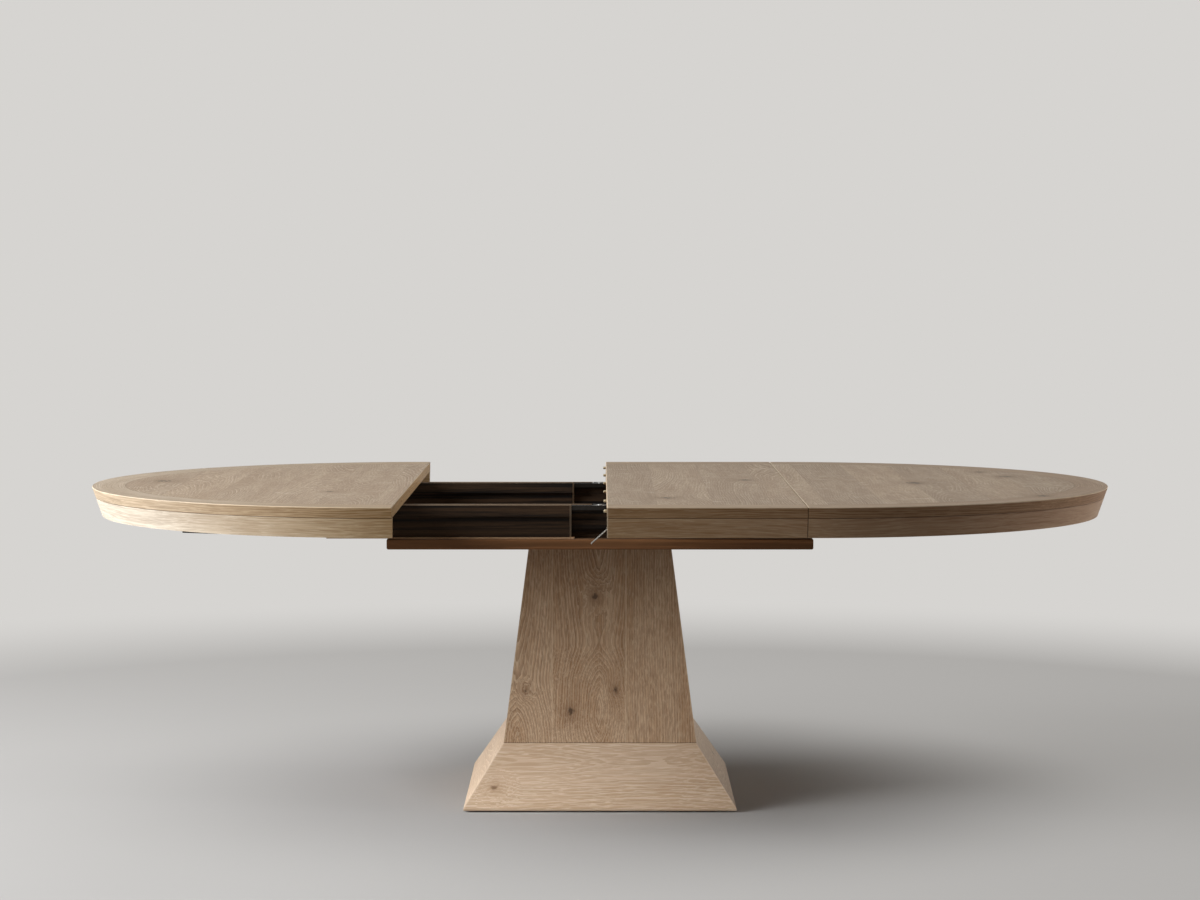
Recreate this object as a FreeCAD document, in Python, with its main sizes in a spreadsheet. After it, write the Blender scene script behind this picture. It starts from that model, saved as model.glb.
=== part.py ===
import FreeCAD
import Part
import Sketcher
import math
import os
import re

# Round extending dining table on one square pedestal, drawn open with one leaf against the right half.
# Millimetres. +X runs along the slides to the right, -Y is the front, +Z is up, and the origin lies on
# the floor under the middle of the column.

SIZES = {
    # Top boards, aprons and leaf
    "top_height": 762,
    "rim_radius": 762,
    "seam_straight": 19,
    "board_thickness": 25,
    "apron_height": 45,
    "apron_foot": 20,
    "edge_undercut": 24,
    "rim_ease": 1.5,
    "reveal": 1.5,
    "seam_ease": 1,
    "half_opening": 462,
    "leaf_width": 445,
    "seam_gap": 1.5,
    # Alignment pins along the seams
    "pin_diameter": 7,
    "pin_end_margin": 57,
    "pin_projection": 7,
    "pin_seat": 22,
    "pin_fit": 0.05,
    "pin_ease": 1,
    "socket_clearance": 0.4,
    "socket_spare": 2,
    # Slides
    "set_offset": 356,
    "fixed_thickness": 18,
    "fixed_inset": 12,
    "slide_gap": 0.3,
    "slide_height": 76,
    "slide_thickness": 20,
    "slide_inner": 67,
    "slide_ease": 4,
    "slide_taper": 337,
    "slide_taper_rise": 11,
    "flange_width": 9.5,
    "flange_height": 26,
    "runner_thickness": 2.2,
    "runner_width": 24,
    "runner_lead": 7,
    "tongue_rise": 31.5,
    "tongue_root": 14,
    "tongue_tip": 20,
    "tongue_depth": 7,
    "tongue_clearance": 0.5,
    "stop_diameter": 6,
    "stop_rise": 11,
    "stop_inset": 16,
    "stop_seat": 8,
    "stop_projection": 4,
    "stop_clearance": 0.3,
    "cleat_width": 50,
    "cleat_overhang": 44,
    "cleat_clearance": 50,
    "cleat_height": 40,
    "cleat_taper": 25,
    # Rack and pinion, with the addenda in modules
    "gear_module": 2.5,
    "pressure_angle": 20,
    "backlash": 0.3,
    "rack_addendum": 0.68,
    "rack_backing": 5,
    "rack_height": 11,
    "rack_cover": 1.5,
    "rack_lead": 17,
    "pinion_addendum": 0.88,
    "pinion_thickness": 9,
    "root_clearance": 0.4,
    "axle_diameter": 6,
    "axle_head": 12,
    "axle_head_height": 1.5,
    "axle_seat": 30,
    "running_clearance": 0.05,
    "mortise_clearance": 1.5,
    # Apron hooks
    "hook_rod": 3.2,
    "hook_clearance": 0.25,
    "hook_reach": 62,
    "hook_inset": 12,
    "hook_level": 18,
    "hook_standoff": 10,
    "hook_tip_gap": 2,
    "hook_droop": 41.5,
    "pivot_head": 11,
    "pivot_head_height": 2.5,
    "pivot_collar": 9,
    "pivot_diameter": 5,
    "pivot_seat": 11,
    "keeper_width": 20,
    "keeper_wall": 4,
    "keeper_drop": 8,
    "keeper_gap": 1.5,
    "keeper_clearance": 1,
    # Glue blocks in the corner of board and apron
    "glue_block": 22,
    "glue_block_length": 60,
    # Platform, column and plinth
    "platform_length": 998,
    "platform_overhang": 43,
    "platform_thickness": 25,
    "platform_round": 4,
    "column_head": 340,
    "column_foot": 463,
    "column_panel": 24,
    "column_block": 32,
    "plinth_height": 151,
    "plinth_foot": 649,
    "plinth_flat": 5,
    "plinth_panel": 26,
    "plinth_block": 60,
    "plate_thickness": 25,
    "wood_fit": 0.3,
    "glide_height": 4,
    "glide_diameter": 38,
    # Screws, bolts and nuts
    "screw_diameter": 4.5,
    "screw_head": 8.5,
    "screw_head_height": 3,
    "screw_bite": 14,
    "flange_screw_start": 55,
    "flange_screw_inset": 70,
    "platform_screw_inner": 150,
    "platform_screw_inset": 87,
    "platform_screw_bite": 20,
    "bolt_diameter": 10,
    "bolt_head": 18,
    "bolt_head_height": 6,
    "bolt_tail": 12,
    "bolt_clearance": 0.3,
    "nut_width": 17,
    "nut_height": 8,
    "head_bolt_inset": 41,
    "foot_bolt_clearance": 3,
}

PIN_COUNT = 6
PINION_TEETH = 12
FLANGE_SCREW_COUNT = 3
GLUE_BLOCK_COUNT = 7
LEAF_BLOCK_COUNT = 3

doc = FreeCAD.newDocument("pedestal_table")
sheet = doc.addObject("Spreadsheet::Sheet", "Sheet")
for row, (alias, value) in enumerate(SIZES.items(), 1):
    sheet.set(f"A{row}", alias)
    sheet.set(f"B{row}", str(value))
    sheet.setAlias(f"B{row}", alias)
doc.recompute()

# Levels, widths and places that several pieces share, as expressions over the sheet
BOARD_BOTTOM = "(top_height - board_thickness)"
LEAF_BOTTOM = f"({BOARD_BOTTOM} + slide_gap)"
APRON_BOTTOM = f"({BOARD_BOTTOM} - apron_height)"
EDGE_SLOPE = "(edge_undercut / (board_thickness + apron_height))"
APRON_INNER = "(rim_radius - edge_undercut - apron_foot)"
LEAF_LEFT = "(half_opening - seam_gap - leaf_width)"
RIM_MIDDLE = "(half_opening + seam_straight)"
PIN_LEVEL = "(top_height - board_thickness / 2)"
PIN_PITCH = f"(2 * (rim_radius - pin_end_margin) / {PIN_COUNT - 1})"

SLIDE_BOTTOM = f"({BOARD_BOTTOM} - slide_height)"
PLATFORM_TOP = f"({SLIDE_BOTTOM} - runner_thickness - slide_gap)"
FIXED_TOP = f"({BOARD_BOTTOM} - slide_gap)"
FLANGE_BOTTOM = f"({BOARD_BOTTOM} - flange_height)"
TONGUE_LEVEL = f"({PLATFORM_TOP} + tongue_rise)"
STOP_LEVEL = f"({PLATFORM_TOP} + stop_rise)"
FIXED_FACE = "(fixed_thickness / 2)"
SLIDE_FACE = f"({FIXED_FACE} + slide_gap)"
SLIDE_BACK = f"({SLIDE_FACE} + slide_thickness)"
FLANGE_BACK = f"({SLIDE_BACK} + flange_width)"
SCREW_LINE = f"({SLIDE_BACK} + screw_head / 2 + slide_gap)"
CLEAT_LENGTH = "(2 * (set_offset + cleat_overhang))"
CLEAT_OUTER = f"({RIM_MIDDLE} + sqrt({APRON_INNER} ^ 2 - {CLEAT_LENGTH} ^ 2 / 4) - cleat_clearance)"
SLIDE_OUTER = f"({CLEAT_OUTER} - cleat_width)"
SLIDE_LENGTH = f"({SLIDE_OUTER} - slide_inner)"
FLANGE_SCREW_FIRST = "(half_opening + flange_screw_start)"
FLANGE_SCREW_LAST = f"({SLIDE_OUTER} - flange_screw_inset)"
FLANGE_SCREW_PITCH = f"(({FLANGE_SCREW_LAST} - {FLANGE_SCREW_FIRST}) / {FLANGE_SCREW_COUNT - 1})"
PLATFORM_WIDTH = "(2 * (set_offset + platform_overhang))"
FIXED_LENGTH = "(platform_length - 2 * fixed_inset)"
PLATFORM_SCREW_OUTER = f"({FIXED_LENGTH} / 2 - platform_screw_inset)"

PITCH_RADIUS = f"(gear_module * {PINION_TEETH} / 2)"
TOOTH_PITCH = "(gear_module * pi)"
RACK_TIPS = f"({PITCH_RADIUS} - rack_addendum * gear_module)"
PINION_TIPS = f"({PITCH_RADIUS} + pinion_addendum * gear_module)"
RACK_ROOT = f"({PINION_TIPS} + root_clearance)"
RACK_BACK = f"({RACK_ROOT} + rack_backing)"
RACK_BOTTOM = f"({BOARD_BOTTOM} - rack_cover - rack_height)"
PINION_BOTTOM = f"({RACK_BOTTOM} + (rack_height - pinion_thickness) / 2)"
MORTISE_FLOOR = f"({PINION_BOTTOM} - slide_gap)"

HOOK_LEVEL = f"({BOARD_BOTTOM} - hook_level)"
HOOK_PLANE = f"({APRON_INNER} - hook_standoff)"
HOOK_EYE = "(pivot_diameter / 2 + hook_clearance + hook_rod / 2)"
KEEPER_SLOT = "(hook_rod + 2 * keeper_clearance)"
KEEPER_FRONT = "(hook_standoff - hook_rod / 2 - keeper_gap)"
LEAF_HOOK_PIVOT = f"({LEAF_LEFT} + hook_inset)"
RIGHT_HOOK_PIVOT = "(half_opening + hook_inset)"
LEFT_KEEPER_PLACE = "(half_opening + hook_reach - hook_inset - seam_gap)"
LEAF_KEEPER_PLACE = f"({RIGHT_HOOK_PIVOT} - hook_reach)"

PLATFORM_BOTTOM = f"({PLATFORM_TOP} - platform_thickness)"
TOP_PLATE_BOTTOM = f"({PLATFORM_BOTTOM} - plate_thickness)"
DECK_BOTTOM = "(plinth_height - plate_thickness)"
BASE_PLATE_TOP = "(plinth_height + plate_thickness)"
PLINTH_SLOPE_START = "(glide_height + plinth_flat)"
GLIDE_PLACE = "(plinth_foot / 2 - plinth_panel - plinth_block / 2)"
BOLT_HOLE = "(bolt_diameter + 2 * bolt_clearance)"
HEAD_BOLT_PLACE = "(column_head / 2 - column_panel - head_bolt_inset)"

SETS = {"front": "-set_offset", "back": "set_offset"}
HALVES = {"left": 180, "right": 0}
SIDES = {"front": -1, "back": 1}

subparts = []


def cells(expression):
    """The expression with each alias written as its cell in the sheet."""
    return re.sub(r"[a-z_]+", lambda word: f"Sheet.{word[0]}" if word[0] in SIZES else word[0], expression)


def size(expression):
    return float(sheet.evalExpression(cells(expression)))


def bind(thing, prop, expression):
    thing.setExpression(prop, cells(expression))


def column_width(level):
    """Outer width of the tapered column at a level."""
    fall = f"({level} - plinth_height) / ({PLATFORM_BOTTOM} - plinth_height)"
    return f"(column_foot - (column_foot - column_head) * {fall})"


def plinth_width(level):
    """Outer width of the sloping plinth at a level above its upright lower edge."""
    rise = f"({level} - {PLINTH_SLOPE_START}) / (plinth_height - {PLINTH_SLOPE_START})"
    return f"(plinth_foot - (plinth_foot - column_foot) * {rise})"


def corners(place):
    """Four places, the same distance from the middle along X and along Y."""
    return [(f"{x} * {place}", f"{y} * {place}") for x in (-1, 1) for y in (-1, 1)]


# Sketches and features


def new_body(label, x="0", y="0", z="0", turn=0):
    body = doc.addObject("PartDesign::Body", label)
    body.Label = label
    body.Placement = FreeCAD.Placement(FreeCAD.Vector(), FreeCAD.Rotation(FreeCAD.Vector(0, 0, 1), turn))
    for axis, expression in zip("xyz", (x, y, z)):
        bind(body, f"Placement.Base.{axis}", expression)
    subparts.append(body)
    return body


def new_sketch(body, role, offset="0"):
    """Sketch on one of the body's own planes, moved along the plane's normal."""
    sketch = body.newObject("Sketcher::SketchObject", "Sketch")
    plane = next(item for item in body.Origin.OriginFeatures if item.Role == role)
    sketch.AttachmentSupport = [(plane, "")]
    sketch.MapMode = "FlatFace"
    bind(sketch, "AttachmentOffset.Base.z", offset)
    return sketch


def add_limit(sketch, expression, kind, *elements):
    number = sketch.addConstraint(Sketcher.Constraint(kind, *elements, size(expression)))
    bind(sketch, f"Constraints[{number}]", expression)


def place_point(sketch, geometry, vertex, x, y):
    add_limit(sketch, x, "DistanceX", -1, 1, geometry, vertex)
    add_limit(sketch, y, "DistanceY", -1, 1, geometry, vertex)


def add_polygon(sketch, points):
    places = [FreeCAD.Vector(size(x), size(y), 0) for x, y in points]
    ends = places[1:] + places[:1]
    lines = [sketch.addGeometry(Part.LineSegment(a, b), False) for a, b in zip(places, ends)]
    for line, following in zip(lines, lines[1:] + lines[:1]):
        sketch.addConstraint(Sketcher.Constraint("Coincident", line, 2, following, 1))
    for line, (x, y) in zip(lines, points):
        place_point(sketch, line, 1, x, y)


def add_circle(sketch, x, y, diameter):
    middle = FreeCAD.Vector(size(x), size(y), 0)
    outline = Part.Circle(middle, FreeCAD.Vector(0, 0, 1), size(diameter) / 2)
    circle = sketch.addGeometry(outline, False)
    place_point(sketch, circle, 3, x, y)
    add_limit(sketch, diameter, "Diameter", circle)


def polygon_sketch(body, role, points, offset="0"):
    sketch = new_sketch(body, role, offset)
    add_polygon(sketch, points)
    return sketch


def circle_sketch(body, role, places, diameter, offset="0"):
    sketch = new_sketch(body, role, offset)
    for x, y in places:
        add_circle(sketch, x, y, diameter)
    return sketch


def pad(body, sketch, length, reverse=False, both_ways=False):
    feature = body.newObject("PartDesign::Pad", "Pad")
    feature.Profile = sketch
    bind(feature, "Length", length)
    feature.Reversed = reverse
    feature.Midplane = both_ways
    return feature


def pocket(body, sketch, depth, reverse=False, both_ways=False):
    doc.recompute()
    volume = body.Shape.Volume
    feature = body.newObject("PartDesign::Pocket", "Pocket")
    feature.Profile = sketch
    bind(feature, "Length", depth)
    feature.Reversed = reverse
    feature.Midplane = both_ways
    doc.recompute()
    if body.Shape.Volume >= volume:
        raise RuntimeError(f"{body.Label}: {feature.Name} cuts nothing")
    return feature


def revolve(body, sketch, angle=360, reverse=False):
    feature = body.newObject("PartDesign::Revolution", "Revolution")
    feature.Profile = sketch
    feature.ReferenceAxis = (sketch, ["V_Axis"])
    feature.Angle = angle
    feature.Reversed = reverse
    return feature


def loft(body, first, *others):
    feature = body.newObject("PartDesign::AdditiveLoft", "Loft")
    feature.Profile = first
    feature.Sections = list(others)
    feature.Ruled = True
    return feature


def repeat_along(body, original, sketch, axis, pitch, count):
    feature = body.newObject("PartDesign::LinearPattern", "Row")
    feature.Originals = [original]
    feature.Direction = (sketch, [axis])
    bind(feature, "Length", f"{pitch} * {count - 1}")
    feature.Occurrences = count
    body.Tip = feature
    return feature


def repeat_round(body, original, sketch, angle, count):
    feature = body.newObject("PartDesign::PolarPattern", "Ring")
    feature.Originals = [original]
    feature.Axis = (sketch, ["N_Axis"])
    feature.Angle = angle
    feature.Occurrences = count
    body.Tip = feature
    return feature


def soften(body, kind, amount, chosen):
    """Chamfer or fillet of the edges that the test picks."""
    doc.recompute()
    base = body.Tip
    names = [f"Edge{number}" for number, edge in enumerate(base.Shape.Edges, 1) if chosen(edge)]
    if not names:
        raise RuntimeError(f"{body.Label}: no edge to soften")
    feature = body.newObject(f"PartDesign::{kind}", kind)
    feature.Base = (base, names)
    bind(feature, "Size" if kind == "Chamfer" else "Radius", amount)
    return feature


def edge_at(**place):
    """Test for edges whose ends all have the given coordinates."""
    wanted = {axis: size(expression) for axis, expression in place.items()}

    def chosen(edge):
        return all(
            abs(getattr(vertex, axis) - value) < 1e-4
            for vertex in edge.Vertexes
            for axis, value in wanted.items()
        )

    return chosen


def studs(label, role, places, stages):
    """Group of equal turned pieces, each a stack of discs: offset, diameter and length of each disc."""
    body = new_body(label)
    for offset, diameter, length in stages:
        pad(body, circle_sketch(body, role, places, diameter, offset), length)
    return body


# Table top


def rim_profile(bottom):
    """Outer edge of a top board, from its top face down to its underside."""
    return [
        ("rim_radius - rim_ease", "top_height"),
        (f"rim_radius - {EDGE_SLOPE} * rim_ease", "top_height - rim_ease"),
        (f"rim_radius - {EDGE_SLOPE} * (top_height - {bottom})", bottom),
    ]


def apron_profile(top):
    """Apron section: outer face on the board's slope, upright inner face, small groove under the board."""
    return [
        (APRON_INNER, top),
        (f"rim_radius - {EDGE_SLOPE} * (top_height - {top}) - reveal", top),
        (f"rim_radius - {EDGE_SLOPE} * (top_height - {top} + reveal)", f"{top} - reveal"),
        ("rim_radius - edge_undercut", APRON_BOTTOM),
        (APRON_INNER, APRON_BOTTOM),
    ]


def other_side(points):
    return [(f"-({x})", y) for x, y in points]


def pin_places():
    middle = (PIN_COUNT - 1) / 2
    return [(f"{number - middle} * {PIN_PITCH}", PIN_LEVEL) for number in range(PIN_COUNT)]


def bore_edge(body, offset, fit, depth, reverse):
    """Row of round holes in a seam edge."""
    holes = circle_sketch(body, "YZ_Plane", pin_places(), f"pin_diameter + 2 * {fit}", offset)
    pocket(body, holes, depth, reverse)


def half_body(label, half):
    """Body whose own origin is the middle of the half's round rim, with +X away from the seam."""
    sign = 1 if half == "right" else -1
    return new_body(label, x=f"{sign} * {RIM_MIDDLE}", turn=HALVES[half])


def flange_screw_places(half, local=False):
    """Screws through the slide flanges, in the table's frame or in the half's own."""
    places = []
    for offset in SETS.values():
        for number in range(FLANGE_SCREW_COUNT):
            along = f"({FLANGE_SCREW_FIRST} + {number} * {FLANGE_SCREW_PITCH})"
            if local:
                sign = 1 if half == "right" else -1
                places.append((f"{along} - {RIM_MIDDLE}", f"{sign} * {offset} + {SCREW_LINE}"))
            elif half == "right":
                places.append((along, f"{offset} + {SCREW_LINE}"))
            else:
                places.append((f"-{along}", f"{offset} - {SCREW_LINE}"))
    return places


def top_board(half):
    body = half_body(f"{half}_top_board", half)
    rim = rim_profile(BOARD_BOTTOM)
    section = [("0", BOARD_BOTTOM), ("0", "top_height")] + rim
    revolve(body, polygon_sketch(body, "YZ_Plane", section), 180, reverse=True)
    strip = rim + other_side(rim[::-1])
    pad(body, polygon_sketch(body, "YZ_Plane", strip), "seam_straight", reverse=True)
    if half == "right":
        bore_edge(body, "-seam_straight", "pin_fit", "pin_seat", True)
    else:
        bore_edge(body, "-seam_straight", "socket_clearance", "pin_projection + socket_spare", True)
    holes = circle_sketch(body, "XY_Plane", flange_screw_places(half, True), "screw_diameter", BOARD_BOTTOM)
    pocket(body, holes, "screw_bite", reverse=True)
    soften(body, "Chamfer", "seam_ease", edge_at(X="-seam_straight", Z="top_height"))


def half_apron(half):
    body = half_body(f"{half}_apron", half)
    section = apron_profile(BOARD_BOTTOM)
    revolve(body, polygon_sketch(body, "YZ_Plane", section), 180, reverse=True)
    ends = polygon_sketch(body, "YZ_Plane", section)
    add_polygon(ends, other_side(section))
    pad(body, ends, "seam_straight", reverse=True)
    if half == "right":
        for side in SIDES.values():
            pivot_hole(body, "hook_inset - seam_straight", side)


def half_glue_blocks(half):
    """Triangular blocks round the corner of board and apron."""
    body = half_body(f"{half}_glue_blocks", half)
    step = 180 / (GLUE_BLOCK_COUNT + 1)
    face = f"(sqrt({APRON_INNER} ^ 2 - glue_block_length ^ 2 / 4) - wood_fit)"
    corner = [
        (f"-{face}", BOARD_BOTTOM),
        (f"-{face} + glue_block", BOARD_BOTTOM),
        (f"-{face}", f"{BOARD_BOTTOM} - glue_block"),
    ]
    start = polygon_sketch(body, "YZ_Plane", corner)
    start.AttachmentOffset = FreeCAD.Placement(
        FreeCAD.Vector(), FreeCAD.Rotation(FreeCAD.Vector(0, 1, 0), step)
    )
    block = pad(body, start, "glue_block_length", both_ways=True)
    floor = new_sketch(body, "XY_Plane")
    repeat_round(body, block, floor, step * (GLUE_BLOCK_COUNT - 1), GLUE_BLOCK_COUNT)


def cleat(half):
    """Cross cleat under the board, against the outer ends of the slides."""
    body = new_body(f"{half}_cleat", turn=HALVES[half])
    low = f"{BOARD_BOTTOM} - cleat_height"
    outline = [
        (f"-{CLEAT_LENGTH} / 2", BOARD_BOTTOM),
        (f"-{CLEAT_LENGTH} / 2 + cleat_taper", low),
        (f"{CLEAT_LENGTH} / 2 - cleat_taper", low),
        (f"{CLEAT_LENGTH} / 2", BOARD_BOTTOM),
    ]
    pad(body, polygon_sketch(body, "YZ_Plane", outline, SLIDE_OUTER), "cleat_width")


def leaf_board():
    body = new_body("leaf_board", x=LEAF_LEFT)
    rim = rim_profile(LEAF_BOTTOM)
    pad(body, polygon_sketch(body, "YZ_Plane", rim + other_side(rim[::-1])), "leaf_width")
    bore_edge(body, "0", "pin_fit", "pin_seat", True)
    bore_edge(body, "leaf_width", "socket_clearance", "pin_projection + socket_spare", False)
    soften(body, "Chamfer", "seam_ease", edge_at(X="0", Z="top_height"))
    soften(body, "Chamfer", "seam_ease", edge_at(X="leaf_width", Z="top_height"))


def leaf_apron(name, side):
    body = new_body(f"leaf_{name}_apron", x=LEAF_LEFT)
    section = apron_profile(LEAF_BOTTOM)
    if side < 0:
        section = other_side(section)
    pad(body, polygon_sketch(body, "YZ_Plane", section), "leaf_width")
    pivot_hole(body, "hook_inset", side)


def leaf_glue_blocks():
    body = new_body("leaf_glue_blocks", x=LEAF_LEFT)
    corner = [
        (APRON_INNER, LEAF_BOTTOM),
        (f"{APRON_INNER} - glue_block", LEAF_BOTTOM),
        (APRON_INNER, f"{LEAF_BOTTOM} - glue_block"),
    ]
    pitch = f"(leaf_width / {LEAF_BLOCK_COUNT + 1})"
    sketch = polygon_sketch(body, "YZ_Plane", corner, f"{pitch} - glue_block_length / 2")
    add_polygon(sketch, other_side(corner))
    block = pad(body, sketch, "glue_block_length")
    repeat_along(body, block, sketch, "N_Axis", pitch, LEAF_BLOCK_COUNT)


def seam_pins(label, seam):
    tip = f"({seam} - pin_projection)"
    body = studs(label, "YZ_Plane", pin_places(), [(tip, "pin_diameter", "pin_projection + pin_seat")])
    soften(body, "Chamfer", "pin_ease", edge_at(X=tip))


# Slides: each moving slide is drawn as the one that goes right, and turned about the pinion to go left


def slide_body(label, set_name, half):
    return new_body(label, y=SETS[set_name], turn=HALVES[half])


def moving_slide(set_name, half):
    body = slide_body(f"{set_name}_{half}_slide", set_name, half)
    groove_mouth = "(tongue_root / 2 + tongue_clearance)"
    groove_floor = "(tongue_tip / 2 + tongue_clearance)"
    groove_face = f"{SLIDE_FACE} + tongue_depth"
    section = [
        (SLIDE_FACE, SLIDE_BOTTOM),
        (SLIDE_BACK, SLIDE_BOTTOM),
        (SLIDE_BACK, FLANGE_BOTTOM),
        (FLANGE_BACK, FLANGE_BOTTOM),
        (FLANGE_BACK, BOARD_BOTTOM),
        (RACK_BACK, BOARD_BOTTOM),
        (RACK_BACK, RACK_BOTTOM),
        (SLIDE_FACE, RACK_BOTTOM),
        (SLIDE_FACE, f"{TONGUE_LEVEL} + {groove_mouth}"),
        (groove_face, f"{TONGUE_LEVEL} + {groove_floor}"),
        (groove_face, f"{TONGUE_LEVEL} - {groove_floor}"),
        (SLIDE_FACE, f"{TONGUE_LEVEL} - {groove_mouth}"),
    ]
    pad(body, polygon_sketch(body, "YZ_Plane", section, "slide_inner"), SLIDE_LENGTH)
    taper = [
        (f"{SLIDE_OUTER} - slide_taper", SLIDE_BOTTOM),
        (SLIDE_OUTER, SLIDE_BOTTOM),
        (SLIDE_OUTER, f"{SLIDE_BOTTOM} + slide_taper_rise"),
    ]
    pocket(body, polygon_sketch(body, "XZ_Plane", taper, f"-{SLIDE_FACE}"), "slide_thickness")
    stop = circle_sketch(body, "XZ_Plane", [stop_place()], "stop_diameter + 2 * pin_fit", f"-{SLIDE_FACE}")
    pocket(body, stop, "stop_seat")
    screws = [(x, SCREW_LINE) for x, y in flange_screw_places("right")[:FLANGE_SCREW_COUNT]]
    holes = circle_sketch(body, "XY_Plane", screws, "screw_diameter", FLANGE_BOTTOM)
    pocket(body, holes, "flange_height", reverse=True)
    for face in (SLIDE_BACK, FLANGE_BACK):
        soften(body, "Chamfer", "slide_ease", edge_at(X="slide_inner", Y=face))


def stop_place():
    return ("slide_inner + stop_inset", STOP_LEVEL)


def runners(half):
    """Light wear strips under the half's two moving slides, from past their inner ends to their tapers."""
    body = new_body(f"{half}_runners", turn=HALVES[half])
    low = f"{SLIDE_BOTTOM} - runner_thickness"
    strips = new_sketch(body, "YZ_Plane", "slide_inner - runner_lead")
    for offset in SETS.values():
        near, far = f"{offset} + {SLIDE_FACE}", f"{offset} + {SLIDE_FACE} + runner_width"
        add_polygon(strips, [(near, low), (far, low), (far, SLIDE_BOTTOM), (near, SLIDE_BOTTOM)])
    pad(body, strips, f"runner_lead + {SLIDE_LENGTH} - slide_taper")


def rack(set_name, half):
    """Toothed bar in the slide's rebate, long enough to mesh from fully open to fully closed."""
    body = slide_body(f"{set_name}_{half}_rack", set_name, half)
    end = "(half_opening + rack_lead)"
    bar = [("-rack_lead", RACK_TIPS), (end, RACK_TIPS), (end, RACK_BACK), ("-rack_lead", RACK_BACK)]
    pad(body, polygon_sketch(body, "XY_Plane", bar, RACK_BOTTOM), "rack_height")
    half_space = f"({TOOTH_PITCH} / 4 + backlash / 4)"
    mouth = f"({half_space} + ({PITCH_RADIUS} - {RACK_TIPS}) * tan(pressure_angle))"
    floor = f"({half_space} - ({RACK_ROOT} - {PITCH_RADIUS}) * tan(pressure_angle))"
    first = f"(-{TOOTH_PITCH})"
    space = [
        (f"{first} - {mouth}", RACK_TIPS),
        (f"{first} + {mouth}", RACK_TIPS),
        (f"{first} + {floor}", RACK_ROOT),
        (f"{first} - {floor}", RACK_ROOT),
    ]
    sketch = polygon_sketch(body, "XY_Plane", space, f"{RACK_BOTTOM} + rack_height")
    cut = pocket(body, sketch, "rack_height")
    count = int(size(f"(half_opening + rack_lead) / {TOOTH_PITCH}")) + 1
    repeat_along(body, cut, sketch, "H_Axis", TOOTH_PITCH, count)


def stop_pins(half):
    """Steel pins that run in the stopped grooves of the fixed slides."""
    body = new_body(f"{half}_stop_pins", turn=HALVES[half])
    for offset in SETS.values():
        tip = f"{offset} + {FIXED_FACE} - stop_projection"
        sketch = circle_sketch(body, "XZ_Plane", [stop_place()], "stop_diameter", f"-({tip})")
        pad(body, sketch, f"{SLIDE_FACE} - {FIXED_FACE} + stop_projection + stop_seat", reverse=True)


def fixed_slide(set_name):
    body = new_body(f"{set_name}_fixed_slide", y=SETS[set_name])
    tongue_face = f"{FIXED_FACE} + tongue_depth"
    side = [
        (FIXED_FACE, PLATFORM_TOP),
        (FIXED_FACE, f"{TONGUE_LEVEL} - tongue_root / 2"),
        (tongue_face, f"{TONGUE_LEVEL} - tongue_tip / 2"),
        (tongue_face, f"{TONGUE_LEVEL} + tongue_tip / 2"),
        (FIXED_FACE, f"{TONGUE_LEVEL} + tongue_root / 2"),
        (FIXED_FACE, FIXED_TOP),
    ]
    section = side + other_side(side[::-1])
    pad(body, polygon_sketch(body, "YZ_Plane", section), FIXED_LENGTH, both_ways=True)
    reach = f"({PINION_TIPS} + mortise_clearance)"
    mortise = [
        (f"-{reach}", MORTISE_FLOOR),
        (reach, MORTISE_FLOOR),
        (reach, FIXED_TOP),
        (f"-{reach}", FIXED_TOP),
    ]
    pocket(body, polygon_sketch(body, "XZ_Plane", mortise), "fixed_thickness", both_ways=True)
    axle = circle_sketch(body, "XY_Plane", [("0", "0")], "axle_diameter + 2 * pin_fit", MORTISE_FLOOR)
    pocket(body, axle, "axle_seat")
    stop_groove(body)
    screws = [(x, "0") for x in platform_screw_stations()]
    holes = circle_sketch(body, "XY_Plane", screws, "screw_diameter", PLATFORM_TOP)
    pocket(body, holes, "platform_screw_bite", reverse=True)


def stop_groove(body):
    """Stopped groove on each face of a fixed slide, whose end holds the stop pin at full opening."""
    along, level = stop_place()
    reach = "(stop_diameter / 2 + stop_clearance)"
    depth = "stop_projection + stop_clearance"
    for face in (1, -1):
        ends = [f"{face} * ({along} - half_opening - {reach})", f"{face} * ({along} + {reach})"]
        low, high = f"{level} - {reach}", f"{level} + {reach}"
        outline = [(ends[0], low), (ends[1], low), (ends[1], high), (ends[0], high)]
        sketch = polygon_sketch(body, "XZ_Plane", outline, f"-({face} * {FIXED_FACE})")
        pocket(body, sketch, depth, reverse=face > 0)


def involute(angle):
    return math.tan(angle) - angle


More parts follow.
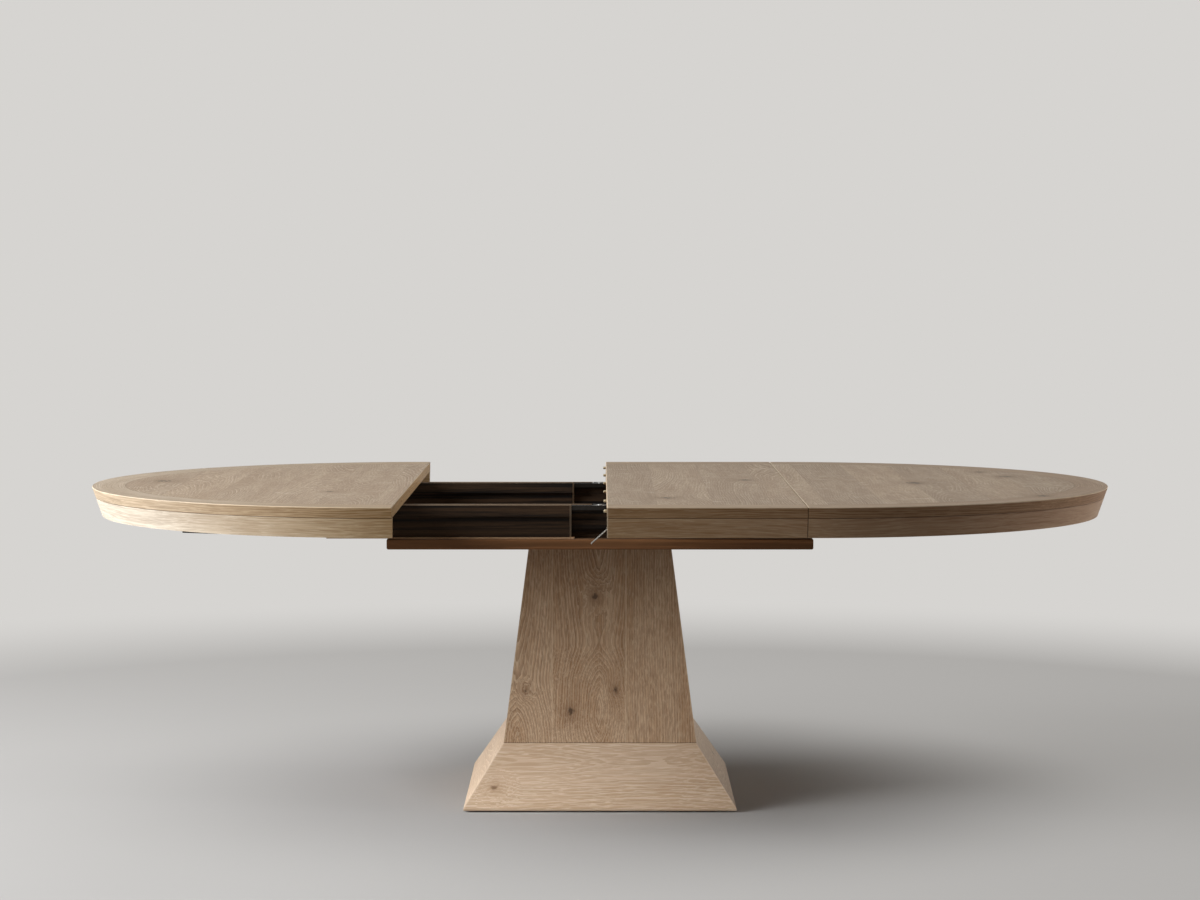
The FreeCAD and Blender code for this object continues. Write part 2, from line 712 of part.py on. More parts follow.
def pinion(set_name):
    """Involute pinion between the two racks of a set, with a tooth towards each rack."""
    pitch_radius = size(PITCH_RADIUS)
    pressure = math.radians(size("pressure_angle"))
    base_radius = pitch_radius * math.cos(pressure)
    tip_radius = size(PINION_TIPS)
    root_radius = size(f"{RACK_TIPS} - root_clearance")
    half_tooth = math.pi / (2 * PINION_TEETH) - size("backlash") / (4 * pitch_radius)

    def point(radius, turn):
        return FreeCAD.Vector(radius * math.cos(turn), radius * math.sin(turn), 0)

    def flank_turn(radius):
        roll = math.acos(base_radius / radius)
        return half_tooth + involute(pressure) - involute(roll)

    flank_radii = (base_radius, (base_radius + tip_radius) / 2, tip_radius)
    root_turn = flank_turn(base_radius)
    edges = []
    for tooth in range(PINION_TEETH):
        middle = math.pi / 2 + 2 * math.pi * tooth / PINION_TEETH
        after = middle + 2 * math.pi / PINION_TEETH
        rising = [point(radius, middle - flank_turn(radius)) for radius in flank_radii]
        falling = [point(radius, middle + flank_turn(radius)) for radius in reversed(flank_radii)]
        foot = point(root_radius, middle - root_turn)
        leave = point(root_radius, middle + root_turn)
        between = point(root_radius, (middle + after) / 2)
        next_foot = point(root_radius, after - root_turn)
        edges += [
            Part.LineSegment(foot, rising[0]),
            Part.Arc(*rising),
            Part.Arc(rising[-1], point(tip_radius, middle), falling[0]),
            Part.Arc(*falling),
            Part.LineSegment(falling[-1], leave),
            Part.Arc(leave, between, next_foot),
        ]
    outline = Part.Wire([edge.toShape() for edge in edges])
    blank = Part.Face(outline).extrude(FreeCAD.Vector(0, 0, size("pinion_thickness")))
    bore = Part.makeCylinder(size("axle_diameter / 2 + running_clearance"), size("pinion_thickness"))
    feature = doc.addObject("Part::Feature", f"{set_name}_pinion")
    feature.Label = f"{set_name}_pinion"
    feature.Shape = blank.cut(bore)
    feature.Placement = FreeCAD.Placement(
        FreeCAD.Vector(0, size(SETS[set_name]), size(PINION_BOTTOM)), FreeCAD.Rotation()
    )
    subparts.append(feature)


def pinion_axles():
    head = f"({PINION_BOTTOM} + pinion_thickness + running_clearance)"
    tail = f"({MORTISE_FLOOR} - axle_seat)"
    studs("pinion_axles", "XY_Plane", [("0", offset) for offset in SETS.values()], [
        (tail, "axle_diameter", f"{head} - {tail}"),
        (head, "axle_head", "axle_head_height"),
    ])


def slide_screws(half):
    studs(f"{half}_slide_screws", "XY_Plane", flange_screw_places(half), [
        (f"{FLANGE_BOTTOM} - screw_head_height", "screw_head", "screw_head_height"),
        (FLANGE_BOTTOM, "screw_diameter - 2 * pin_fit", "flange_height + screw_bite - slide_gap"),
    ])


# Apron hooks


def pivot_hole(body, place, side):
    """Hole for a hook's pivot in the upright inner face of an apron."""
    face = f"-({side} * {APRON_INNER})"
    sketch = circle_sketch(body, "XZ_Plane", [(place, HOOK_LEVEL)], "pivot_diameter + 2 * pin_fit", face)
    pocket(body, sketch, "pivot_seat", reverse=side < 0)


def hook(label, place, side, droop):
    """Wire hook on a pivot, with an eye at one end and a finger towards the apron at the other."""
    body = new_body(label, x=place, y=f"{side} * {HOOK_PLANE}", z=HOOK_LEVEL)
    if droop:
        body.Placement = FreeCAD.Placement(
            body.Placement.Base, FreeCAD.Rotation(FreeCAD.Vector(0, -1, 0), size("hook_droop"))
        )
        bind(body, "Placement.Rotation.Angle", "hook_droop")
    revolve(body, circle_sketch(body, "XY_Plane", [(HOOK_EYE, "0")], "hook_rod"))
    rod = circle_sketch(body, "YZ_Plane", [("0", "0")], "hook_rod", f"-{HOOK_EYE}")
    pad(body, rod, f"hook_reach - {HOOK_EYE}", reverse=True)
    finger = circle_sketch(body, "XZ_Plane", [("-hook_reach", "0")], "hook_rod")
    pad(body, finger, "hook_standoff - hook_tip_gap", reverse=side > 0)
    elbow = body.newObject("PartDesign::AdditiveSphere", "Elbow")
    bind(elbow, "Radius", "hook_rod / 2")
    bind(elbow, "Placement.Base.x", "-hook_reach")


def hook_pivots(label, place):
    """Shouldered pivot screws: seat in the apron, collar, bearing for the hook's eye, head."""
    body = new_body(label)
    bearing = "(hook_rod + 2 * slide_gap)"
    collar = f"(hook_standoff - {bearing} / 2)"
    stages = [
        ("-pivot_seat", "pivot_diameter", "pivot_seat"),
        ("0", "pivot_collar", collar),
        (collar, "pivot_diameter", bearing),
        (f"({collar} + {bearing})", "pivot_head", "pivot_head_height"),
    ]
    for side in SIDES.values():
        for start, diameter, length in stages:
            face = f"-({side} * ({APRON_INNER} - {start}))"
            sketch = circle_sketch(body, "XZ_Plane", [(place, HOOK_LEVEL)], diameter, face)
            pad(body, sketch, length, reverse=side < 0)


def keepers(label, place, setback):
    """Keepers on the aprons, each with a slot open below that takes the hook's finger."""
    body = new_body(label)
    ceiling = f"({HOOK_LEVEL} + hook_rod / 2 + slide_gap)"
    top = f"{ceiling} + keeper_wall"
    low = f"{HOOK_LEVEL} - keeper_drop"
    outline = [
        (f"{place} - keeper_width / 2", low),
        (f"{place} - {KEEPER_SLOT} / 2", low),
        (f"{place} - {KEEPER_SLOT} / 2", ceiling),
        (f"{place} + {KEEPER_SLOT} / 2", ceiling),
        (f"{place} + {KEEPER_SLOT} / 2", low),
        (f"{place} + keeper_width / 2", low),
        (f"{place} + keeper_width / 2", top),
        (f"{place} - keeper_width / 2", top),
    ]
    for side in SIDES.values():
        face = f"-({side} * ({APRON_INNER} - {setback}))"
        sketch = polygon_sketch(body, "XZ_Plane", outline, face)
        pad(body, sketch, f"{KEEPER_FRONT} - {setback}", reverse=side < 0)


def left_keeper_setback():
    """How far the round apron has come in at the keeper's far corner."""
    far = f"({LEFT_KEEPER_PLACE} + keeper_width / 2 - {RIM_MIDDLE})"
    return f"({APRON_INNER} - sqrt({APRON_INNER} ^ 2 - {far} ^ 2) + running_clearance)"


# Pedestal


def platform_screw_stations():
    places = ("platform_screw_inner", PLATFORM_SCREW_OUTER)
    return [f"{sign} * {place}" for sign in (-1, 1) for place in places]


def platform_screw_places():
    return [(x, y) for x in platform_screw_stations() for y in SETS.values()]


def slide_platform():
    body = new_body("slide_platform")
    side, front = "platform_length / 2", f"{PLATFORM_WIDTH} / 2"
    outline = [(f"-{side}", f"-{front}"), (side, f"-{front}"), (side, front), (f"-{side}", front)]
    pad(body, polygon_sketch(body, "XY_Plane", outline, PLATFORM_BOTTOM), "platform_thickness")
    soften(body, "Fillet", "platform_round", lambda edge: True)
    bolts = circle_sketch(body, "XY_Plane", corners(HEAD_BOLT_PLACE), BOLT_HOLE, PLATFORM_TOP)
    pocket(body, bolts, "platform_thickness")
    screws = circle_sketch(body, "XY_Plane", platform_screw_places(), "screw_diameter", PLATFORM_TOP)
    pocket(body, screws, "platform_thickness")


def fixed_slide_screws():
    shank = "platform_thickness + platform_screw_bite - slide_gap"
    studs("fixed_slide_screws", "XY_Plane", platform_screw_places(), [
        (f"{PLATFORM_BOTTOM} - screw_head_height", "screw_head", "screw_head_height"),
        (PLATFORM_BOTTOM, "screw_diameter - 2 * pin_fit", shank),
    ])


def panels(name, thickness, *cuts):
    """Four sloping boards round a square box, mitred on its diagonals: level and outer width at each cut."""
    low, foot = cuts[0]
    high = cuts[-1][0]
    outer = [(f"-{width} / 2", level) for level, width in cuts]
    inner = [(f"{y} + {thickness}", level) for y, level in reversed(outer)]
    for place, turn in {"front": 0, "right": 90, "back": 180, "left": 270}.items():
        body = new_body(f"{name}_{place}_panel", turn=turn)
        pad(body, polygon_sketch(body, "YZ_Plane", outer + inner), f"2 * {foot}", both_ways=True)
        mitres = new_sketch(body, "XY_Plane", high)
        for end in (-1, 1):
            near, far = f"{end} * {thickness}", f"{end} * 2 * {foot}"
            add_polygon(mitres, [(near, f"-{thickness}"), (far, f"-2 * {foot}"), (far, f"-{thickness}")])
        pocket(body, mitres, f"{high} - {low}")


def inner_plate(label, low, high, width_at, panel, bolt_place):
    """Plate inside four panels, with its edges bevelled to their slope."""
    body = new_body(label)
    stock = width_at(low)
    below, above = [f"({width_at(level)} / 2 - {panel} - wood_fit)" for level in (low, high)]
    across = [(f"-{below}", low), (below, low), (above, high), (f"-{above}", high)]
    pad(body, polygon_sketch(body, "XZ_Plane", across), stock, both_ways=True)
    bevels = new_sketch(body, "YZ_Plane")
    for side in SIDES.values():
        outside = f"{side} * {stock}"
        add_polygon(bevels, [
            (f"{side} * {below}", low),
            (f"{side} * {above}", high),
            (outside, high),
            (outside, low),
        ])
    pocket(body, bevels, stock, both_ways=True)
    holes = circle_sketch(body, "XY_Plane", corners(bolt_place), BOLT_HOLE, high)
    pocket(body, holes, "plate_thickness")


def corner_blocks(label, low, high, width_at, panel, block, square):
    """Blocks in the four inner corners of a tapering box."""
    body = new_body(label)
    cuts = []
    for level in (low, high):
        corner = f"({width_at(level)} / 2 - {panel})"
        points = [(corner, corner), (f"{corner} - {block}", corner), (corner, f"{corner} - {block}")]
        if square:
            points.insert(2, (f"{corner} - {block}", f"{corner} - {block}"))
        cuts.append(polygon_sketch(body, "XY_Plane", points, level))
    block_loft = loft(body, *cuts)
    repeat_round(body, block_loft, cuts[0], 360, 4)


def pedestal_nuts(rows):
    """Hexagon nuts, in rows of places at one level."""
    body = new_body("pedestal_nuts")
    reach = "(nut_width / sqrt(3))"
    for places, level in rows:
        sketch = new_sketch(body, "XY_Plane", level)
        for x, y in places:
            turns = range(0, 360, 60)
            hexagon = [(f"{x} + {reach} * cos({turn})", f"{y} + {reach} * sin({turn})") for turn in turns]
            add_polygon(sketch, hexagon)
            add_circle(sketch, x, y, "bolt_diameter + 2 * pin_fit")
        pad(body, sketch, "nut_height")


def pedestal():
    block_inside = f"({plinth_width(DECK_BOTTOM)} / 2 - plinth_panel - plinth_block)"
    foot_bolt_place = f"({block_inside} - bolt_head / 2 - foot_bolt_clearance)"
    panels("column", "column_panel", ("plinth_height", "column_foot"), (PLATFORM_BOTTOM, "column_head"))
    panels("plinth", "plinth_panel", ("glide_height", "plinth_foot"),
           (PLINTH_SLOPE_START, "plinth_foot"), ("plinth_height", "column_foot"))
    inner_plate("column_top_plate", TOP_PLATE_BOTTOM, PLATFORM_BOTTOM, column_width, "column_panel",
                HEAD_BOLT_PLACE)
    inner_plate("column_base_plate", "plinth_height", BASE_PLATE_TOP, column_width, "column_panel",
                foot_bolt_place)
    inner_plate("plinth_deck", DECK_BOTTOM, "plinth_height", plinth_width, "plinth_panel", foot_bolt_place)
    corner_blocks("column_corner_blocks", BASE_PLATE_TOP, TOP_PLATE_BOTTOM, column_width, "column_panel",
                  "column_block", False)
    corner_blocks("plinth_corner_blocks", PLINTH_SLOPE_START, DECK_BOTTOM, plinth_width, "plinth_panel",
                  "plinth_block", True)
    head_places = corners(HEAD_BOLT_PLACE)
    head_tail = f"({TOP_PLATE_BOTTOM} - bolt_tail)"
    studs("platform_bolts", "XY_Plane", head_places, [
        (head_tail, "bolt_diameter", f"{PLATFORM_TOP} - {head_tail}"),
        (PLATFORM_TOP, "bolt_head", "bolt_head_height"),
    ])
    foot_places = corners(foot_bolt_place)
    studs("base_bolts", "XY_Plane", foot_places, [
        (f"{DECK_BOTTOM} - bolt_head_height", "bolt_head", "bolt_head_height"),
        (DECK_BOTTOM, "bolt_diameter", "2 * plate_thickness + bolt_tail"),
    ])
    pedestal_nuts([(head_places, f"{TOP_PLATE_BOTTOM} - nut_height"), (foot_places, BASE_PLATE_TOP)])
    studs("floor_glides", "XY_Plane", corners(GLIDE_PLACE), [("0", "glide_diameter", PLINTH_SLOPE_START)])


def tops():
    for half in HALVES:
        top_board(half)
        half_apron(half)
        half_glue_blocks(half)
        cleat(half)
        runners(half)
        slide_screws(half)
        stop_pins(half)
    leaf_board()
    leaf_glue_blocks()
    seam_pins("leaf_pins", LEAF_LEFT)
    seam_pins("right_pins", "half_opening")
    keepers("left_keepers", f"(-{LEFT_KEEPER_PLACE})", left_keeper_setback())
    keepers("leaf_keepers", LEAF_KEEPER_PLACE, "0")
    hook_pivots("leaf_hook_pivots", LEAF_HOOK_PIVOT)
    hook_pivots("right_hook_pivots", RIGHT_HOOK_PIVOT)
    for name, side in SIDES.items():
        leaf_apron(name, side)
        hook(f"leaf_{name}_hook", LEAF_HOOK_PIVOT, side, True)
        hook(f"right_{name}_hook", RIGHT_HOOK_PIVOT, side, False)


def slides():
    for set_name in SETS:
        fixed_slide(set_name)
        pinion(set_name)
        for half in HALVES:
            moving_slide(set_name, half)
            rack(set_name, half)
    pinion_axles()
    fixed_slide_screws()


pedestal()
slide_platform()
slides()
tops()
doc.recompute()

for item in doc.Objects:
    if "Invalid" in item.State or "Error" in item.State:
        raise RuntimeError(f"{item.Label} failed: {item.State}")
for subpart in subparts:
    if subpart.Shape.isNull() or not subpart.Shape.isValid():
        raise RuntimeError(f"{subpart.Label} has no valid shape")

os.makedirs("parts", exist_ok=True)
for subpart in subparts:
    subpart.Shape.exportStep(f"parts/{subpart.Label}.step")
print(f"{len(subparts)} sub-parts written")
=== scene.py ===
import bmesh
import bpy
import math
from functools import partial
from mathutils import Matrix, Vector


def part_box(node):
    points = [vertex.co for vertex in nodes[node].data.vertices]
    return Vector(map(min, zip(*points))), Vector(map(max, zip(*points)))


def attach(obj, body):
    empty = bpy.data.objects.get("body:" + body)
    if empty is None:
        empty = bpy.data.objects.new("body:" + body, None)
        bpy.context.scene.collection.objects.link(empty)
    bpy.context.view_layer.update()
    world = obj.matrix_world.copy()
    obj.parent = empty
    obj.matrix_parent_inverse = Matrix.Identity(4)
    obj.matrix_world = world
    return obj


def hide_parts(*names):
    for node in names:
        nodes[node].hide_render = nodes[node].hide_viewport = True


# Round extending dining table in pale limed oak on one square pedestal, drawn open with a leaf against
# its right half. Metres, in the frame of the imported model; pattern sizes are in millimetres.

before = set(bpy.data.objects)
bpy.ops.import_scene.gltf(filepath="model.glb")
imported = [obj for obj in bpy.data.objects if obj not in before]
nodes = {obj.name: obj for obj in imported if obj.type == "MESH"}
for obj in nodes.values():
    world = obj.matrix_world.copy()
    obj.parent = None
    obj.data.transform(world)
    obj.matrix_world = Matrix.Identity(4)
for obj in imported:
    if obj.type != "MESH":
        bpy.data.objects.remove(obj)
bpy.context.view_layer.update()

BOARD_LOW, BOARD_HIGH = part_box("right_top_board")
LEAF_LOW, LEAF_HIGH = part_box("leaf_board")
COLUMN_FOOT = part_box("column_front_panel")[0].z
APRON_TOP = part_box("right_apron")[1].z

RIM_RADIUS = BOARD_HIGH.y
RIM_MIDDLE = BOARD_HIGH.x - RIM_RADIUS
MIDDLE_SEAM = (BOARD_LOW.x + LEAF_HIGH.x) / 2
LEAF_END = LEAF_LOW.x
BAND_WIDTH = 0.080
BAND_EDGE = RIM_RADIUS - BAND_WIDTH
PLANK_WIDTH = 0.128


def linear(colour):
    """An sRGB hex colour as linear red, green, blue and alpha."""
    parts = [int(colour[i:i + 2], 16) / 255 for i in (1, 3, 5)]
    return [c / 12.92 if c <= 0.04045 else ((c + 0.055) / 1.055) ** 2.4 for c in parts] + [1.0]


def per_metre(*millimetres):
    """Repeats per metre of a pattern with these sizes."""
    return tuple(1000 / size for size in millimetres)


def add(tree, kind, *values, sockets=None, **settings):
    """Adds a node. Its settings come first, then values for its sockets in order and sockets by name, each a
    number, a colour, an output or a node whose first output is meant."""
    node = tree.nodes.new(f"ShaderNode{kind}")
    for name, value in settings.items():
        setattr(node, name, value)
    inputs = [socket for socket in node.inputs if socket.enabled]
    wanted = list(zip(inputs, values)) + [(node.inputs[name], v) for name, v in (sockets or {}).items()]
    for socket, value in wanted:
        if isinstance(value, bpy.types.Node):
            value = next(output for output in value.outputs if output.enabled)
        if isinstance(value, bpy.types.NodeSocket):
            tree.links.new(value, socket)
        else:
            socket.default_value = value
    return node


def new_material(name):
    """An empty material and the function that adds nodes to it."""
    material = bpy.data.materials.new(name)
    material.use_nodes = True
    material.node_tree.nodes.clear()
    return material, partial(add, material.node_tree)


def surface(node, colour, roughness, relief=None, depth=0.0003, **constants):
    """Ends a material with a colour, a roughness and a relief whose depth is in metres."""
    sockets = {"Base Color": colour, "Roughness": roughness}
    sockets.update({name.replace("_", " "): value for name, value in constants.items()})
    if relief is not None:
        sockets["Normal"] = node("Bump", sockets={"Strength": 0.6, "Distance": depth, "Height": relief})
    node("OutputMaterial", node("BsdfPrincipled", sockets=sockets))


# Limed oak: brown fibres, pale lime in the open early wood of each ring, silver grain across the fibres and knots

TOP_OAK = {"base": "#A9957E", "warm": "#98826A", "late": "#77624B", "lime": "#C9B9A4", "knot": "#43382C"}
EDGE_OAK = {"base": "#BFA78C", "warm": "#AC9176", "late": "#876B50", "lime": "#DAC8AF"}
COLUMN_OAK = {"base": "#C6A685", "warm": "#B38F6C", "late": "#7F5E42", "lime": "#E0C9AA", "knot": "#4A3626"}
PLINTH_OAK = {"base": "#CDB194", "warm": "#C2A485", "late": "#AE8F70", "lime": "#E8D7BE", "knot": "#7A5D43"}
SILVER_GRAIN = "#D8CBB8"
EDGE_TINT = "#FFF2E2"
JOINT_BROWN = "#75634F"
# Painted shade, with a glue line, in the joint under the board
SHADOW_BROWN = "#3B2D21"
# Pale lipping, and painted highlights on arrises and corners
LIPPING_AND_HIGHLIGHT_OAK = "#DECDB2"

# Sizes of the patterns along the fibres and across them
RING_MM = 6
WOBBLE_MM = (110, 16, 16)
FIBRE_MM = (150, 4.5, 4.5)
PORE_MM = (60, 2.4, 2.4)
STREAK_MM = (700, 45, 45)
SILVER_MM = (30, 70, 70)
RAY_MM = (3.5, 28, 28)
WANDER_MM = (600, 160, 160)
RAGGED_MM = (14, 7, 7)

# The rings come to a point over the pith, rise over a knot, and a knot is longer along the fibres
POINTED = 0.012
KNOT_RISE = 0.022
KNOT_STRETCH = 0.75
KNOT_REACH = 8

# Painted light on the edges, brighter and paler at the left and darker and richer at the right: where along the table
# its tone, richness and colour begin and end to change, from what to what, and how much of it the band takes
EDGE_PAINTED_LIGHT = (-1.1, 0.8, 1.36, 0.63)
EDGE_PAINTED_LIGHT_RICHNESS = (-1.0, -0.45, 0.66, 1.24)
EDGE_PAINTED_LIGHT_HUE = (-1.0, 1.0, 0.514, 0.487)
BAND_PAINTED_LIGHT_SHARE = 0.35


def oak_figure(node, along, across, depth, look, knots=(), place=None, ring_share=0.7, fibre_share=0.6,
               lime_share=0.6, flecks=None, drift=0.05, wobble_share=1.5, faint=0.45):
    """Colour, relief and pores of oak from three distances in metres: along the fibres, and across them and in
    depth from the pith. Each knot is a place along and across with a radius. The shares say how strongly rings,
    fibres and lime show, flecks where the silver grain shows, drift how far the rings wander in metres, wobble_share
    how far they waver in rings, and faint how much of them is left in the quiet patches. Fibres and pores are drawn
    two or three times as wide as real ones, so that they show."""
    grain = node("CombineXYZ", along, across, depth)
    ragged = node("TexNoise", node("VectorMath", grain, per_metre(*RAGGED_MM), operation="MULTIPLY"), 1, 3)
    ragged = node("Math", ragged, 0.5, operation="SUBTRACT")
    core, swirl = 0.0, 0.0
    for knot_along, knot_across, radius in knots:
        offset = node("VectorMath", place, (knot_along, knot_across, 0), operation="SUBTRACT")
        radii = node("VectorMath", offset, (KNOT_STRETCH / radius, 1 / radius, 0), operation="MULTIPLY")
        reach = node("Math", ragged, 3, node("VectorMath", radii, operation="LENGTH"), operation="MULTIPLY_ADD")
        core = node("Math", core, node("MapRange", reach, 0.1, 1.2, 1, 0, interpolation_type="SMOOTHSTEP"),
                    operation="MAXIMUM")
        swirl = node("Math", swirl, node("MapRange", reach, 0, KNOT_REACH, 1, 0, interpolation_type="SMOOTHSTEP"),
                     operation="MAXIMUM")

    slow = node("TexNoise", node("VectorMath", grain, per_metre(*WANDER_MM), operation="MULTIPLY"), 1, 2)
    sway = node("VectorMath", slow.outputs["Color"], (0.5, 0.5, 0.5), operation="SUBTRACT")
    sway = node("VectorMath", sway, (0, 0.5 * drift, drift), operation="MULTIPLY")
    bent = node("VectorMath", grain, sway, operation="ADD")
    if knots:
        rise = node("CombineXYZ", 0, 0, node("Math", swirl, KNOT_RISE, operation="MULTIPLY"))
        bent = node("VectorMath", bent, rise, operation="ADD")

    round_pith = node("VectorMath", bent, (0, 1, 1), operation="MULTIPLY")
    aside = node("Math", node("SeparateXYZ", bent).outputs["Y"], operation="ABSOLUTE")
    squared = node("Math", aside, 2 * POINTED, node("VectorMath", round_pith, round_pith, operation="DOT_PRODUCT"),
                   operation="MULTIPLY_ADD")
    radius = node("Math", squared, operation="SQRT")
    wobble = node("TexNoise", node("VectorMath", bent, per_metre(*WOBBLE_MM), operation="MULTIPLY"), 1, 2)
    phase = node("Math", radius, 1000 / RING_MM, node("Math", wobble, wobble_share, operation="MULTIPLY"),
                 operation="MULTIPLY_ADD")
    ring = node("Math", phase, operation="FRACT")
    year = node("TexWhiteNoise", noise_dimensions="1D", sockets={"W": node("Math", phase, operation="FLOOR")})
    strength = node("Math", node("MapRange", year, 0, 1, 0.4 * ring_share, ring_share),
                    node("MapRange", slow, 0.38, 0.60, faint, 1, interpolation_type="SMOOTHSTEP"),
                    operation="MULTIPLY")
    late = node("MapRange", ring, 0.3, 0.95, 0, 1, interpolation_type="SMOOTHSTEP")
    late = node("Math", late, strength, operation="MULTIPLY")
    early = node("MapRange", ring, 0.1, 0.36, 1, 0, interpolation_type="SMOOTHSTEP")
    early = node("Math", early, strength, operation="MULTIPLY")

    thread = node("TexNoise", node("VectorMath", bent, per_metre(*FIBRE_MM), operation="MULTIPLY"), 1, 4, 0.65)
    fibre = node("MapRange", thread, 0.36, 0.66, 0, fibre_share, interpolation_type="SMOOTHSTEP")
    fine = node("TexNoise", node("VectorMath", bent, per_metre(*PORE_MM), operation="MULTIPLY"), 1, 2, 0.5)
    pores = node("MapRange", fine, 0.50, 0.66, 0, 1, interpolation_type="SMOOTHSTEP")
    limed = node("Math", early, node("Math", pores, 0.55, operation="MULTIPLY"), operation="MAXIMUM")
    limed = node("Math", limed, lime_share, operation="MULTIPLY")
    wide = node("TexNoise", node("VectorMath", bent, per_metre(*STREAK_MM), operation="MULTIPLY"), 1, 3, 0.55)
    streak = node("MapRange", wide, 0.36, 0.64, 0, 1, interpolation_type="SMOOTHSTEP")

    colour = node("Mix", streak, linear(look["base"]), linear(look["warm"]), data_type="RGBA")
    dark = node("Math", late, fibre, operation="MAXIMUM")
    colour = node("Mix", dark, colour, linear(look["late"]), data_type="RGBA")
    colour = node("Mix", limed, colour, linear(look["lime"]), data_type="RGBA")
    if flecks:
        silver = node("TexNoise", node("VectorMath", bent, per_metre(*SILVER_MM), operation="MULTIPLY"), 1, 2, 0.5)
        silver = node("MapRange", silver, 0.58, 0.74, 0, 0.4, interpolation_type="SMOOTHSTEP")
        ray = node("TexNoise", node("VectorMath", bent, per_metre(*RAY_MM), operation="MULTIPLY"), 1, 2, 0.5)
        ray = node("MapRange", ray, 0.46, 0.58, 0.3, 1, interpolation_type="SMOOTHSTEP")
        pale = node("Math", node("Math", silver, ray, operation="MULTIPLY"), flecks, operation="MULTIPLY")
        colour = node("Mix", pale, colour, linear(SILVER_GRAIN), data_type="RGBA")
    if knots:
        halo = node("Math", node("Math", swirl, 4, operation="POWER"), 0.6, operation="MULTIPLY")
        colour = node("Mix", halo, colour, linear(look["late"]), data_type="RGBA")
        heart = node("Math", core, 0.85, operation="MULTIPLY")
        colour = node("Mix", heart, colour, linear(look["knot"]), data_type="RGBA")
    return colour, node("Math", 1, limed, operation="SUBTRACT"), pores


def rim_places(node):
    """Where a point lies by the rim: along it, out from its middle, and on which board, with the painted light of the
    edges there, whose tone, richness and colour go from bright and pale at the left to dark and deep at the right,
    and masks for faces that look sideways, ends at the seams, a thin pale line beside each seam and the painted
    highlight on the corners of the leaf's free end."""
    place = node("TexCoord")
    x, y, z = node("SeparateXYZ", place.outputs["Object"]).outputs
    away = node("Math", x, operation="ABSOLUTE")
    past = node("Math", node("Math", away, RIM_MIDDLE, operation="SUBTRACT"), 0, operation="MAXIMUM")
    turn = node("Math", past, node("Math", y, -1, operation="MULTIPLY"), operation="ARCTAN2")
    short = node("Math", RIM_MIDDLE, node("Math", away, past, operation="SUBTRACT"), operation="SUBTRACT")
    run = node("Math", short, node("Math", y, operation="SIGN"), operation="MULTIPLY")
    along = node("Math", turn, RIM_RADIUS, run, operation="MULTIPLY_ADD")
    out = node("VectorMath", node("CombineXYZ", past, y, 0), operation="LENGTH")
    half = node("Math", away, MIDDLE_SEAM, operation="GREATER_THAN")
    # -0.7 on the left half, 1.7 on the leaf and 2.7 on the right half
    board = node("Math", node("Math", x, operation="SIGN"), 1.7, half, operation="MULTIPLY_ADD")
    # Painted light on the edges: brighter and paler at the left, darker and richer at the right
    tone = node("MapRange", x, *EDGE_PAINTED_LIGHT)
    lit_richness = node("MapRange", x, *EDGE_PAINTED_LIGHT_RICHNESS)
    lit_hue = node("MapRange", x, *EDGE_PAINTED_LIGHT_HUE)

    facing = node("SeparateXYZ", place.outputs["Normal"])
    edge = node("Math", node("Math", facing.outputs["Z"], operation="ABSOLUTE"), 0.6, operation="LESS_THAN")
    first = node("Math", node("Math", away, MIDDLE_SEAM, operation="SUBTRACT"), operation="ABSOLUTE")
    second = node("Math", node("Math", away, LEAF_END, operation="SUBTRACT"), operation="ABSOLUTE")
    near = node("Math", first, second, operation="MINIMUM")
    end = node("Math", node("Math", facing.outputs["X"], operation="ABSOLUTE"), 0.7, operation="GREATER_THAN")
    end = node("Math", end, node("Math", near, 0.004, operation="LESS_THAN"), operation="MULTIPLY")
    # A pale line beside each seam, lipping with a painted highlight on its chamfer, and the painted highlight on the
    # corners of the leaf's free end
    line = node("MapRange", near, 0.0010, 0.0022, 0.7, 0)
    line = node("Math", line, node("Math", 1, edge, operation="SUBTRACT"), operation="MULTIPLY")
    corner = node("Math", node("MapRange", second, 0.0012, 0.0030, 0.7, 0), edge, operation="MULTIPLY")
    corner = node("Math", corner, node("Math", 1, end, operation="SUBTRACT"), operation="MULTIPLY")
    return {"x": x, "y": y, "z": z, "along": along, "out": out, "board": board, "tone": tone, "lit_richness": lit_richness,
            "lit_hue": lit_hue, "edge": edge, "end": end, "line": line, "corner": corner}


# Places along, across and radius of the knots that mark the top boards most
TOP_KNOTS = [
    (0.046, -1.083, 0.020), (-0.490, 0.154, 0.016), (0.080, 0.362, 0.015), (-0.020, 0.775, 0.022),
    (0.200, 1.030, 0.018), (0.366, 0.985, 0.014), (-0.430, 1.029, 0.016), (-0.300, -0.640, 0.010),
]

# How fast a plank's cut nears the pith along its length, and how deep the pith lies
CUT_SLOPE = 0.11
PITH_DEPTH = (0.05, 0.11)


